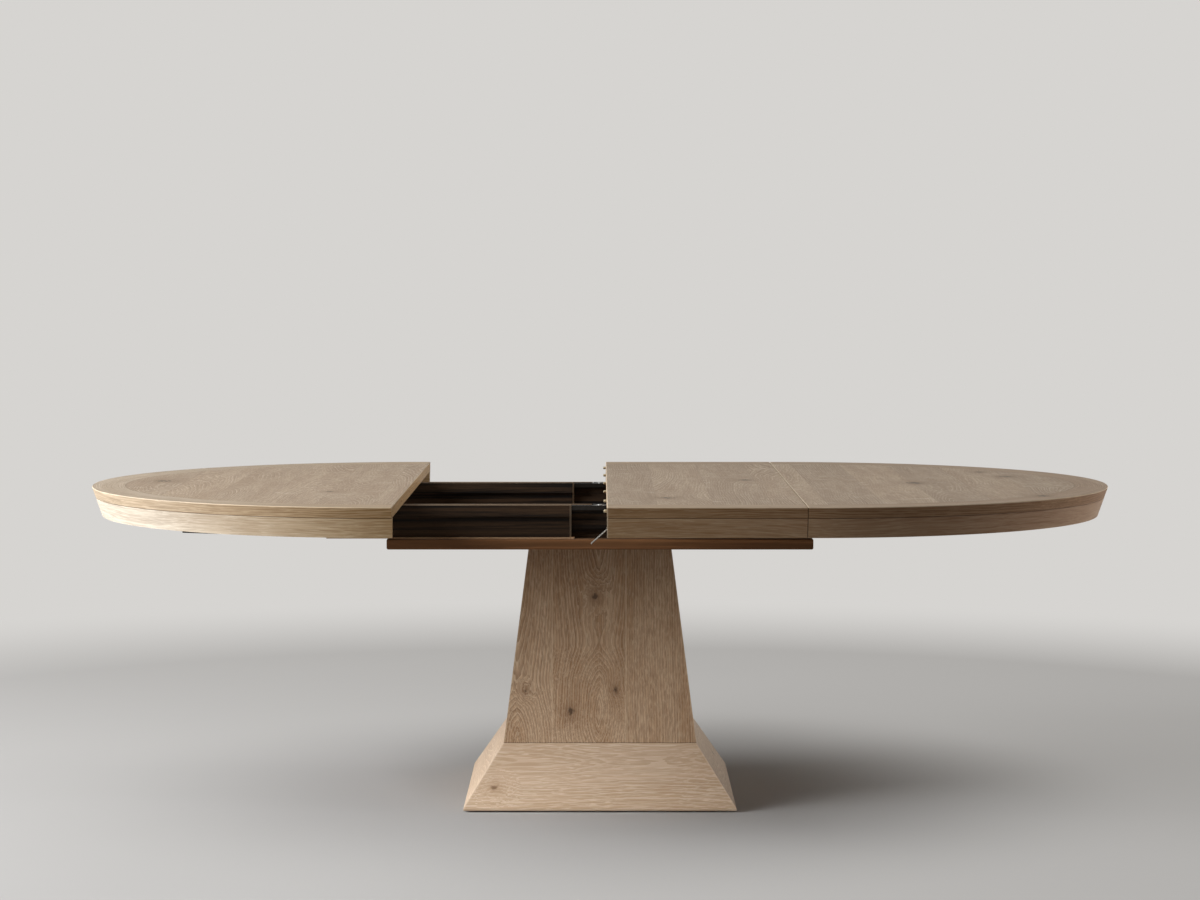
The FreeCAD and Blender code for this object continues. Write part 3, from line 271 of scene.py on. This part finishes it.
def top_oak():
    """Limed oak veneer under matt lacquer: planks from front to back inside a band that follows the rim, and edges
    with the fibres along the rim. The edges, and the band a little, carry painted light, brighter at the left and
    darker at the right. Solid lipping at the seams shows as a pale line, with a painted highlight on its chamfer. The
    top arris of the edges and the corners of the leaf's free end carry painted highlights, and a dark glue line with
    painted shade runs along the foot of the edges."""
    material, node = new_material("limed_oak_top")
    at = rim_places(node)
    planks = node("Math", at["x"], PLANK_WIDTH, operation="DIVIDE")
    plank = node("Math", planks, operation="FLOOR")
    in_plank = node("Math", planks, operation="FRACT")
    lots = node("TexWhiteNoise", node("CombineXYZ", plank, at["board"], 0), noise_dimensions="2D")
    lot = node("SeparateColor", lots.outputs["Color"]).outputs
    field_along = node("Math", lot["Blue"], 7, at["y"], operation="MULTIPLY_ADD")
    aside = node("Math", in_plank, node("MapRange", lot["Red"], 0, 1, -0.4, 1.4), operation="SUBTRACT")
    field_across = node("Math", aside, PLANK_WIDTH, operation="MULTIPLY")
    off = node("Math", node("Math", at["y"], node("MapRange", lot["Blue"], 0, 1, -0.5, 0.5), operation="SUBTRACT"),
               operation="ABSOLUTE")
    field_depth = node("Math", off, -CUT_SLOPE, node("MapRange", lot["Green"], 0, 1, *PITH_DEPTH),
                       operation="MULTIPLY_ADD")

    band = node("Math", at["out"], BAND_EDGE, operation="GREATER_THAN")
    framed = node("Math", band, at["edge"], operation="MAXIMUM")
    board_pith = node("Math", at["board"], 0.013, 0.05, operation="MULTIPLY_ADD")
    rim_across = node("Mix", at["edge"], at["out"], at["z"])
    along = node("Mix", framed, field_along, at["along"])
    along = node("Mix", at["end"], along, at["y"])
    across = node("Mix", framed, field_across, rim_across)
    depth = node("Mix", framed, field_depth, board_pith)
    field = node("Math", 1, framed, operation="SUBTRACT")
    quartered = node("Math", field, node("MapRange", lot["Red"], 0.3, 0.6, 0.3, 1), operation="MULTIPLY")
    flat = node("CombineXYZ", at["y"], at["x"], 0)
    colour, relief, pores = oak_figure(node, along, across, depth, TOP_OAK, TOP_KNOTS, flat, ring_share=0.9,
                                       flecks=quartered, drift=0.06)

    tone = node("Math", node("MapRange", lot["Green"], 0, 1, -0.11, 0.01), field, 1.06, operation="MULTIPLY_ADD")
    # The edges, and the band a little, take the painted light of rim_places
    painted_light_share = node("Math", at["edge"], node("Math", band, BAND_PAINTED_LIGHT_SHARE, operation="MULTIPLY"), operation="MAXIMUM")
    painted_rim_light = node("Mix", painted_light_share, 1, at["tone"])
    colour = node("HueSaturation", sockets={
        "Color": colour, "Hue": node("Mix", painted_light_share, 0.5, at["lit_hue"]), "Saturation": node("Mix", painted_light_share, 1, at["lit_richness"]),
        "Value": node("Math", tone, painted_rim_light, operation="MULTIPLY")})
    colour = node("Mix", at["edge"], colour, linear(EDGE_TINT), data_type="RGBA", blend_type="MULTIPLY")

    gap = node("Math", node("Math", at["out"], BAND_EDGE, operation="SUBTRACT"), operation="ABSOLUTE")
    joint = node("MapRange", gap, 0.0006, 0.0022, 0.65, 0)
    inset = node("Math", in_plank, node("Math", 1, in_plank, operation="SUBTRACT"), operation="MINIMUM")
    thin = node("MapRange", node("Math", inset, PLANK_WIDTH, operation="MULTIPLY"), 0.0003, 0.0010, 0.4, 0)
    joint = node("Math", joint, node("Math", thin, field, operation="MULTIPLY"), operation="MAXIMUM")
    joint = node("Math", joint, node("Math", 1, at["edge"], operation="SUBTRACT"), operation="MULTIPLY")
    colour = node("Mix", joint, colour, linear(JOINT_BROWN), data_type="RGBA")
    # A dark glue line with painted shade along the foot of the edges, under the board
    shadow = node("MapRange", at["z"], BOARD_LOW.z + 0.0004, BOARD_LOW.z + 0.0016, 0.6, 0)
    shadow = node("Math", shadow, at["edge"], operation="MULTIPLY")
    colour = node("Mix", shadow, colour, linear(SHADOW_BROWN), data_type="RGBA")
    # Painted highlight along the top arris of the edges, beside the seams and on the corners of the leaf's free end
    arris_highlight = node("MapRange", at["z"], BOARD_HIGH.z - 0.0028, BOARD_HIGH.z - 0.0012, 0, 0.45)
    arris_highlight = node("Math", arris_highlight, at["edge"], operation="MULTIPLY")
    pale = node("Math", at["line"], at["corner"], operation="MAXIMUM")
    colour = node("Mix", node("Math", pale, arris_highlight, operation="MAXIMUM"), colour, linear(LIPPING_AND_HIGHLIGHT_OAK), data_type="RGBA")
    surface(node, colour, node("MapRange", pores, 0, 1, 0.52, 0.66), relief, Specular_IOR_Level=0.2)
    return material


def apron_oak():
    """Limed oak veneer bent round the rim with the fibres along it, with the painted light of the edges, a dark glue
    line with painted shade at its top under the board, and painted highlights on the corners of the leaf's free end.
    """
    material, node = new_material("limed_oak_apron")
    at = rim_places(node)
    depth = node("Math", at["board"], 0.017, 0.06, operation="MULTIPLY_ADD")
    across = node("Math", at["z"], 0.66, operation="SUBTRACT")
    colour, relief, pores = oak_figure(node, at["along"], across, depth, EDGE_OAK, ring_share=0.6, fibre_share=0.5,
                                       drift=0.07)
    # The painted light of rim_places
    colour = node("HueSaturation", sockets={
        "Color": colour, "Hue": at["lit_hue"], "Saturation": at["lit_richness"], "Value": at["tone"]})
    # A dark glue line with painted shade along the top of the apron, under the board
    shadow = node("MapRange", at["z"], APRON_TOP - 0.0014, APRON_TOP - 0.0004, 0, 0.6)
    colour = node("Mix", shadow, colour, linear(SHADOW_BROWN), data_type="RGBA")
    # Painted highlight on the corners of the leaf's free end
    colour = node("Mix", at["corner"], colour, linear(LIPPING_AND_HIGHLIGHT_OAK), data_type="RGBA")
    surface(node, colour, node("MapRange", pores, 0, 1, 0.5, 0.64), relief, Specular_IOR_Level=0.3)
    return material


# How softly the cut turns where it lies furthest from the pith
TURN_SOFT = 0.02


def panel_oak(name, look, side, upright, planks, arch, knots=(), **shares):
    """Oak veneer on one panel of the pedestal, fibres upright on the column and level on the plinth. planks gives
    where each plank starts across the panel, where its pith lies and how far its figure is moved along; arch gives
    where along the fibres the cut lies furthest from the pith, how far, and how fast it comes nearer before and after
    that. Corners are painted a little paler as a highlight."""
    material, node = new_material(name)
    place = node("TexCoord")
    x, y, z = node("SeparateXYZ", place.outputs["Object"]).outputs
    level, facing = (x, y) if side in ("front", "back") else (y, x)
    along, across = (z, level) if upright else (level, z)
    (_, pith, moved), *more = planks
    joint = 0.0
    for start, next_pith, next_moved in more:
        after = node("Math", across, start, operation="GREATER_THAN")
        pith = node("Mix", after, pith, next_pith)
        moved = node("Mix", after, moved, next_moved)
        near = node("Math", node("Math", across, start, operation="SUBTRACT"), operation="ABSOLUTE")
        joint = node("Math", joint, node("MapRange", near, 0.0005, 0.0016, 0.4, 0), operation="MAXIMUM")
    middle, furthest, before, after = arch
    from_middle = node("Math", node("Math", along, middle, operation="SUBTRACT"), moved, operation="ADD")
    fall = node("Math", node("Math", from_middle, -before, operation="MULTIPLY"),
                node("Math", from_middle, after, operation="MULTIPLY"), TURN_SOFT, operation="SMOOTH_MAX")
    depth = node("Math", furthest, fall, operation="SUBTRACT")
    turned = node("Math", across, pith, operation="SUBTRACT")
    shifted = node("Math", moved, 9, along, operation="MULTIPLY_ADD")
    flat = node("CombineXYZ", along, across, 0)
    colour, relief, pores = oak_figure(node, shifted, turned, depth, look, knots, flat, **shares)
    if more:
        colour = node("Mix", joint, colour, linear(look["lime"]), data_type="RGBA")
    # Painted highlight along the corners of the panel
    corner = node("Math", node("Math", facing, operation="ABSOLUTE"), node("Math", level, operation="ABSOLUTE"),
                  operation="SUBTRACT")
    arris_highlight = node("MapRange", corner, 0.0005, 0.004, 0.35, 0)
    colour = node("Mix", arris_highlight, colour, linear(look["lime"]), data_type="RGBA")
    if upright:
        foot = node("MapRange", z, COLUMN_FOOT + 0.0008, COLUMN_FOOT + 0.0026, 0.6, 0)
        colour = node("Mix", foot, colour, linear(look["knot"]), data_type="RGBA")
    surface(node, colour, node("MapRange", pores, 0, 1, 0.5, 0.64), relief, Specular_IOR_Level=0.3)
    return material


# Other woods, metal and plastic


def stained_wood(name, dark, light, end, pore_mm, streak_mm, smooth, upper_light_and_shade=None):
    """Wood sawn along the table: slow streaks and fine pores along the fibres, another tone on end grain, and, when a
    colour is given for them, upper faces painted in it as painted light or shade."""
    material, node = new_material(name)
    place = node("TexCoord")
    fibres = node("VectorMath", place.outputs["Object"], per_metre(*streak_mm), operation="MULTIPLY")
    slow = node("TexNoise", fibres, 1, 4, 0.6, sockets={"Distortion": 0.6})
    streak = node("MapRange", slow, 0.36, 0.70, 0, 1, interpolation_type="SMOOTHSTEP")
    threads = node("VectorMath", place.outputs["Object"], per_metre(*pore_mm), operation="MULTIPLY")
    fine = node("TexNoise", threads, 1, 3, 0.6)
    pores = node("MapRange", fine, 0.5, 0.72, 0, 1, interpolation_type="SMOOTHSTEP")
    colour = node("Mix", streak, linear(dark), linear(light), data_type="RGBA")
    colour = node("Mix", node("Math", pores, 0.5, operation="MULTIPLY"), colour, linear(dark), data_type="RGBA")
    facing = node("SeparateXYZ", place.outputs["Normal"])
    # Painted light or shade on upper faces, in the colour given for them
    if upper_light_and_shade:
        upper = node("MapRange", facing.outputs["Z"], 0.6, 0.8, 0, 0.7)
        colour = node("Mix", upper, colour, linear(upper_light_and_shade), data_type="RGBA")
    cut = node("MapRange", node("Math", facing, operation="ABSOLUTE"), 0.6, 0.8, 0, 0.8)
    colour = node("Mix", cut, colour, linear(end), data_type="RGBA")
    surface(node, colour, node("MapRange", pores, 0, 1, smooth, smooth + 0.16),
            node("Math", 1, pores, operation="SUBTRACT"), 0.0002, Specular_IOR_Level=0.15)
    return material


SHEEN_MM = 9
SCRATCH_MM = (12, 0.8, 0.8)


def metal(name, bright, dull, smooth, rough):
    """Plated, blackened or drawn metal: cloudy sheen and fine scratches. They are drawn at 0.8 mm so that they
    show."""
    material, node = new_material(name)
    place = node("TexCoord")
    clouds = node("TexNoise", place.outputs["Object"], per_metre(SHEEN_MM)[0], 3, 0.6)
    drawn = node("VectorMath", place.outputs["Object"], per_metre(*SCRATCH_MM), operation="MULTIPLY")
    fine = node("TexNoise", drawn, 1, 2)
    colour = node("Mix", clouds, linear(bright), linear(dull), data_type="RGBA")
    blend = node("Math", fine, 0.4, node("Math", clouds, 0.6, operation="MULTIPLY"), operation="MULTIPLY_ADD")
    surface(node, colour, node("MapRange", blend, 0.35, 0.65, smooth, rough), fine, 0.00005, Metallic=1.0)
    return material


def plastic(name, colour, grit_mm):
    """Moulded plastic with a fine matt grit."""
    material, node = new_material(name)
    place = node("TexCoord")
    grit = node("TexNoise", place.outputs["Object"], per_metre(grit_mm)[0], 2, 0.5)
    shade = node("HueSaturation", sockets={
        "Color": linear(colour), "Value": node("MapRange", grit, 0.3, 0.7, 0.85, 1.15)})
    surface(node, shade, node("MapRange", grit, 0.3, 0.7, 0.45, 0.65), grit, 0.0001)
    return material


def dress(material, *names):
    """Puts a material on the nodes with these names."""
    for name in names:
        for slot in nodes[name].material_slots:
            slot.material = material


dress(top_oak(), "left_top_board", "right_top_board", "leaf_board")
dress(apron_oak(), "left_apron", "right_apron", "leaf_front_apron", "leaf_back_apron")

# Planks, arch and knots of each panel, as panel_oak takes them; the front ones stand where the photograph has them
FRONT_KNOTS = [(0.225, -0.070, 0.008), (0.499, -0.012, 0.007), (0.275, -0.180, 0.004), (0.277, 0.038, 0.005)]
COLUMN_CUTS = {
    "front": ([(0, -0.200, 0.09), (-0.115, -0.004, 0), (0.062, 0.420, 0.3)], (0.385, 0.064, 0.40, 0.15),
              FRONT_KNOTS),
    "right": ([(0, -0.080, 0.2), (0.02, 0.120, 0.6)], (0.30, 0.060, 0.16, 0.2), [(0.41, 0.020, 0.005)]),
    "back": ([(0, -0.150, 0.4), (-0.09, 0.010, 0.1), (0.09, 0.150, 0.7)], (0.50, 0.080, 0.24, 0.2),
             [(0.33, 0.055, 0.006), (0.53, -0.09, 0.004)]),
    "left": ([(0, -0.060, 0.5), (0.05, 0.110, 0.8)], (0.26, 0.050, 0.20, 0.12), [(0.36, -0.050, 0.005)]),
}
PLINTH_CUTS = {
    "front": ([(0, 0.112, 0)], (0.10, 0.060, 0.035, 0.06), [(-0.250, 0.053, 0.007)]),
    "right": ([(0, 0.060, 0.2)], (-0.10, 0.060, 0.05, 0.04), [(0.12, 0.070, 0.006)]),
    "back": ([(0, 0.090, 0.4)], (0.15, 0.050, 0.04, 0.05), [(0.18, 0.050, 0.007)]),
    "left": ([(0, 0.100, 0.6)], (0.05, 0.060, 0.05, 0.05), []),
}
for side, (planks, arch, knots) in COLUMN_CUTS.items():
    dress(panel_oak(f"limed_oak_column_{side}", COLUMN_OAK, side, True, planks, arch, knots, ring_share=0.82,
                    drift=0.03, wobble_share=1.0, faint=0.8), f"column_{side}_panel")
for side, (planks, arch, knots) in PLINTH_CUTS.items():
    dress(panel_oak(f"limed_oak_plinth_{side}", PLINTH_OAK, side, False, planks, arch, knots, ring_share=0.62,
                    fibre_share=0.36, lime_share=0.9, drift=0.04, faint=0.6), f"plinth_{side}_panel")

# Slides: upper faces painted paler, as painted light on their tops; the end grain is pale unstained beech, painted
# paler still as painted light on the end faces
dress(stained_wood("black_brown_beech", "#0D0906", "#443222", "#E0D2BE", (40, 1.2, 1.2), (500, 14, 14), 0.74,
                   "#8A745C"),
      "front_fixed_slide", "back_fixed_slide", "front_left_slide", "back_left_slide", "front_right_slide",
      "back_right_slide")
# The platform's upper face is painted darker, as stain and as painted shade under the top
dress(stained_wood("brown_stained_oak", "#6A482C", "#986A45", "#6F4C2F", (60, 1.8, 1.8), (800, 50, 26), 0.45,
                   "#5A4635"),
      "slide_platform")
dress(stained_wood("waxed_beech", "#C9A27C", "#E2C19C", "#C39B72", (20, 1.5, 1.5), (400, 12, 12), 0.4),
      "left_runners", "right_runners")
dress(stained_wood("planed_pine", "#BD9663", "#DDBE8C", "#B48A57", (120, 2, 2), (900, 10, 10), 0.6),
      "left_glue_blocks", "right_glue_blocks", "leaf_glue_blocks", "left_cleat", "right_cleat", "column_top_plate",
      "column_base_plate", "plinth_deck", "column_corner_blocks", "plinth_corner_blocks")
zinc = metal("zinc_plated_steel", "#A8A6A2", "#7E7B76", 0.26, 0.40)
dress(zinc, "left_stop_pins", "right_stop_pins", "left_keepers", "leaf_keepers", "leaf_hook_pivots",
      "right_hook_pivots", "front_pinion", "back_pinion", "pedestal_nuts")
dress(metal("bright_steel_wire", "#B5B1AA", "#7E7A74", 0.18, 0.30),
      "leaf_front_hook", "leaf_back_hook", "right_front_hook", "right_back_hook")
dress(metal("blackened_steel", "#3A3734", "#262422", 0.34, 0.5),
      "front_left_rack", "back_left_rack", "front_right_rack", "back_right_rack")
dress(metal("drawn_brass", "#C9BA9C", "#9C8C70", 0.24, 0.40), "leaf_pins", "right_pins")
dress(plastic("black_nylon", "#232221", 0.9), "floor_glides")


def new_object(name, mesh_maker, material):
    """An object whose mesh the maker draws, with one material."""
    mesh = bpy.data.meshes.new(name)
    shape = bmesh.new()
    mesh_maker(shape)
    shape.to_mesh(mesh)
    shape.free()
    mesh.materials.append(material)
    piece = bpy.data.objects.new(name, mesh)
    bpy.context.scene.collection.objects.link(piece)
    return piece


# Fasteners with turned heads and driver recesses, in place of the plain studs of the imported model

HEAD_STEPS = 32
BOLT_HEAD = [(5.2, 0), (7.4, 0), (8.4, -0.4), (8.9, -1.2), (9, -2), (9, -5.6), (8.7, -6), (5, -6)]
SCREW_HEAD = [(2.9, 0), (3.5, -0.3), (4, -0.9), (4.25, -1.7), (4.25, -2.8), (4.1, -3), (2.2, -3)]
AXLE_HEAD = [(4.9, 0), (5.4, -0.1), (5.9, -0.5), (6, -1), (6, -1.5)]
HEX_SOCKET = [(4.6 * math.cos(turn * math.pi / 3), 4.6 * math.sin(turn * math.pi / 3)) for turn in range(6)]
CROSS_RECESS = [(2.3, -0.5), (2.3, 0.5), (0.6, 0.6), (0.5, 2.3), (-0.5, 2.3), (-0.6, 0.6),
                (-2.3, 0.5), (-2.3, -0.5), (-0.6, -0.6), (-0.5, -2.3), (0.5, -2.3), (0.6, -0.6)]
SLOT = [(4.4, -0.5), (4.4, 0.5), (-4.4, 0.5), (-4.4, -0.5)]
SOCKET_DEPTH = 3.4
CROSS_DEPTH = 1.6
SLOT_DEPTH = 0.8
BOLT_SHANK = 5
SCREW_SHANK = 2.2
AXLE_SHANK = 4
INNER_SCREW = 0.150


def head_reach(head):
    """Radius of a head in metres."""
    return max(radius for radius, _ in head) / 1000


def turned_fasteners(name, body, head, shank, recess, depth, columns, hanging=False):
    """Bolts or screws turned from an outline in millimetres: radius and height from the rim of the recess down to
    the shank, which ends where the node of this name does. The recess has an outline and a depth. columns are their
    places along the table; across it they sit on both sides. Hanging ones have their heads below."""
    low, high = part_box(name)
    length = 1000 * (high.z - low.z)
    reach = head_reach(head)
    outline = head + [(shank, 1 - length), (shank - 1, -length), (0, -length)]

    def turn(shape):
        rim = [shape.verts.new((radius, 0, height)) for radius, height in outline]
        line = [shape.edges.new(pair) for pair in zip(rim, rim[1:])]
        bmesh.ops.spin(shape, geom=rim + line, cent=(0, 0, 0), axis=(0, 0, 1), dvec=(0, 0, 0), angle=2 * math.pi,
                       steps=HEAD_STEPS, use_merge=True)
        bmesh.ops.remove_doubles(shape, verts=shape.verts[:], dist=0.001)
        opening = [edge for edge in shape.edges if edge.is_boundary]
        corners = [shape.verts.new((x, y, 0)) for x, y in recess]
        mouth = [shape.edges.new(pair) for pair in zip(corners, corners[1:] + corners[:1])]
        bmesh.ops.bridge_loops(shape, edges=opening + mouth)
        walls = bmesh.ops.extrude_edge_only(shape, edges=mouth)["geom"]
        foot = [part for part in walls if isinstance(part, bmesh.types.BMVert)]
        bmesh.ops.translate(shape, verts=foot, vec=(0, 0, -depth))
        bmesh.ops.contextual_create(shape, geom=[edge for edge in shape.edges if edge.is_boundary])
        bmesh.ops.scale(shape, verts=shape.verts[:], vec=(0.001, 0.001, -0.001 if hanging else 0.001))
        first = shape.verts[:] + shape.edges[:] + shape.faces[:]
        top = low.z if hanging else high.z
        for x in columns:
            for y in (low.y + reach, high.y - reach):
                copy = bmesh.ops.duplicate(shape, geom=first)["geom"]
                bmesh.ops.translate(shape, verts=[part for part in copy if isinstance(part, bmesh.types.BMVert)],
                                    vec=(x, y, top))
        bmesh.ops.delete(shape, geom=[part for part in first if isinstance(part, bmesh.types.BMVert)])
        bmesh.ops.recalc_face_normals(shape, faces=shape.faces[:])
        for face in shape.faces:
            face.smooth = True
        for edge in shape.edges:
            edge.smooth = edge.calc_face_angle(0) < 0.7

    piece = new_object(f"{name}_turned", turn, zinc)
    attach(piece, body)
    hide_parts(name)


def both_ends(name, head):
    """Where along the table the outermost fasteners of a node sit."""
    low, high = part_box(name)
    return [low.x + head_reach(head), high.x - head_reach(head)]


turned_fasteners("platform_bolts", "pedestal", BOLT_HEAD, BOLT_SHANK, HEX_SOCKET, SOCKET_DEPTH,
                 both_ends("platform_bolts", BOLT_HEAD))
turned_fasteners("base_bolts", "pedestal", BOLT_HEAD, BOLT_SHANK, HEX_SOCKET, SOCKET_DEPTH,
                 both_ends("base_bolts", BOLT_HEAD), True)
turned_fasteners("pinion_axles", "pedestal", AXLE_HEAD, AXLE_SHANK, SLOT, SLOT_DEPTH, [0])
for half in ("left", "right"):
    near, far = both_ends(f"{half}_slide_screws", SCREW_HEAD)
    turned_fasteners(f"{half}_slide_screws", f"{half}_half", SCREW_HEAD, SCREW_SHANK, CROSS_RECESS, CROSS_DEPTH,
                     [near, (near + far) / 2, far], True)
near, far = both_ends("fixed_slide_screws", SCREW_HEAD)
turned_fasteners("fixed_slide_screws", "pedestal", SCREW_HEAD, SCREW_SHANK, CROSS_RECESS, CROSS_DEPTH,
                 [near, -INNER_SCREW, INNER_SCREW, far], True)


# Floor, light and camera

BACKGROUND = "#D6D4D1"
FLOOR_SEEN = "#AEACA9"
FLOOR_BOUNCE = "#8E8C8A"
FLOOR_HALF = 60
FLOOR_CLOUD_MM = 900
# From which to which distance the floor fades, and from how much to how much
HAZE_NEAR = (0.4, 1.4, 0, 0.45)
HAZE_FAR = (1.4, 4.2, 0, 1)
FILL = 0.13
FILL_TINT = "#FFF0E0"


def looked_at(node):
    """1 where the camera looks, straight or by a reflection, and 0 where only light arrives."""
    rays = node("LightPath")
    seen = node("Math", rays.outputs["Is Camera Ray"], rays.outputs["Is Glossy Ray"], operation="MAXIMUM")
    return node("Math", seen, rays.outputs["Is Transmission Ray"], operation="MAXIMUM")


def floor_paint():
    """Plain pale matt floor that fades into the background away from the table. Light that bounces from it finds it a
    little darker."""
    material, node = new_material("pale_floor")
    place = node("TexCoord")
    slow = node("TexNoise", place.outputs["Object"], per_metre(FLOOR_CLOUD_MM)[0], 3)
    shade = node("HueSaturation", sockets={
        "Color": linear(FLOOR_SEEN), "Value": node("MapRange", slow, 0.3, 0.7, 0.985, 1.015)})
    seen = looked_at(node)
    shade = node("Mix", seen, linear(FLOOR_BOUNCE), shade, data_type="RGBA")
    painted = node("BsdfPrincipled", sockets={"Base Color": shade, "Roughness": 0.75, "Specular IOR Level": 0.2})
    reach = node("VectorMath", place.outputs["Object"], operation="LENGTH")
    near = node("MapRange", reach, *HAZE_NEAR, interpolation_type="SMOOTHSTEP")
    far = node("MapRange", reach, *HAZE_FAR, interpolation_type="SMOOTHSTEP")
    far = node("Math", near, far, operation="MAXIMUM")
    haze = node("Emission", linear(BACKGROUND), 1)
    node("OutputMaterial", node("MixShader", node("Math", seen, far, operation="MULTIPLY"), painted, haze))
    return material


floor = new_object("floor", partial(bmesh.ops.create_grid, x_segments=8, y_segments=8, size=FLOOR_HALF),
                   floor_paint())


def softbox(name, place, target, width, height, power, colour, spread=180):
    """A soft lamp of a size in metres, turned to a target, with its power in watts and its spread in degrees."""
    lamp = bpy.data.lights.new(name, "AREA")
    lamp.shape = "RECTANGLE"
    lamp.size, lamp.size_y = width, height
    lamp.energy = power
    lamp.spread = math.radians(spread)
    lamp.color = linear(colour)[:3]
    holder = bpy.data.objects.new(name, lamp)
    holder.location = place
    holder.rotation_euler = (Vector(target) - Vector(place)).to_track_quat("-Z", "Y").to_euler()
    holder.visible_camera = False
    bpy.context.scene.collection.objects.link(holder)


softbox("left_softbox", (-4.6, -1.55, 2.5), (0, 0, 0.6), 2.4, 2.8, 430, "#F7FAFF")
softbox("front_softbox", (-1.6, -2.6, 0.5), (0, -0.25, 0.05), 0.5, 0.5, 0.32, "#F3F8FF", 19)
softbox("top_softbox", (0, 0.2, 4.2), (0, 0, 0.7), 4, 4, 30, "#FFFFFF")
softbox("right_softbox", (3.9, -0.3, 1.1), (1.24, 0, 0.80), 1.2, 0.8, 2.6, "#FFFFFF", 24)

world = bpy.data.worlds.new("studio")
bpy.context.scene.world = world
world.use_nodes = True
world.node_tree.nodes.clear()
node = partial(add, world.node_tree)
shown = looked_at(node)
tint = node("Mix", shown, linear(FILL_TINT), linear(BACKGROUND), data_type="RGBA")
node("OutputWorld", node("Background", tint, node("MapRange", shown, 0, 1, FILL, 1)))

# The camera that fits the photograph
PHOTO_WIDTH = 1200
FOCAL_PIXELS = 2979.2
SENSOR_MM = 36
CAMERA_PLACE = (0, -7.3318, 1.3001)
CAMERA_DIP = 0.0624
CAMERA_REACH = 200
camera_data = bpy.data.cameras.new("camera")
camera_data.sensor_width = SENSOR_MM
camera_data.lens = FOCAL_PIXELS / PHOTO_WIDTH * SENSOR_MM
camera_data.clip_end = CAMERA_REACH
camera = bpy.data.objects.new("camera", camera_data)
camera.location = CAMERA_PLACE
camera.rotation_euler = (math.pi / 2 - CAMERA_DIP, 0, 0)
bpy.context.scene.collection.objects.link(camera)
bpy.context.scene.camera = camera
bpy.context.scene.view_settings.view_transform = "Standard"
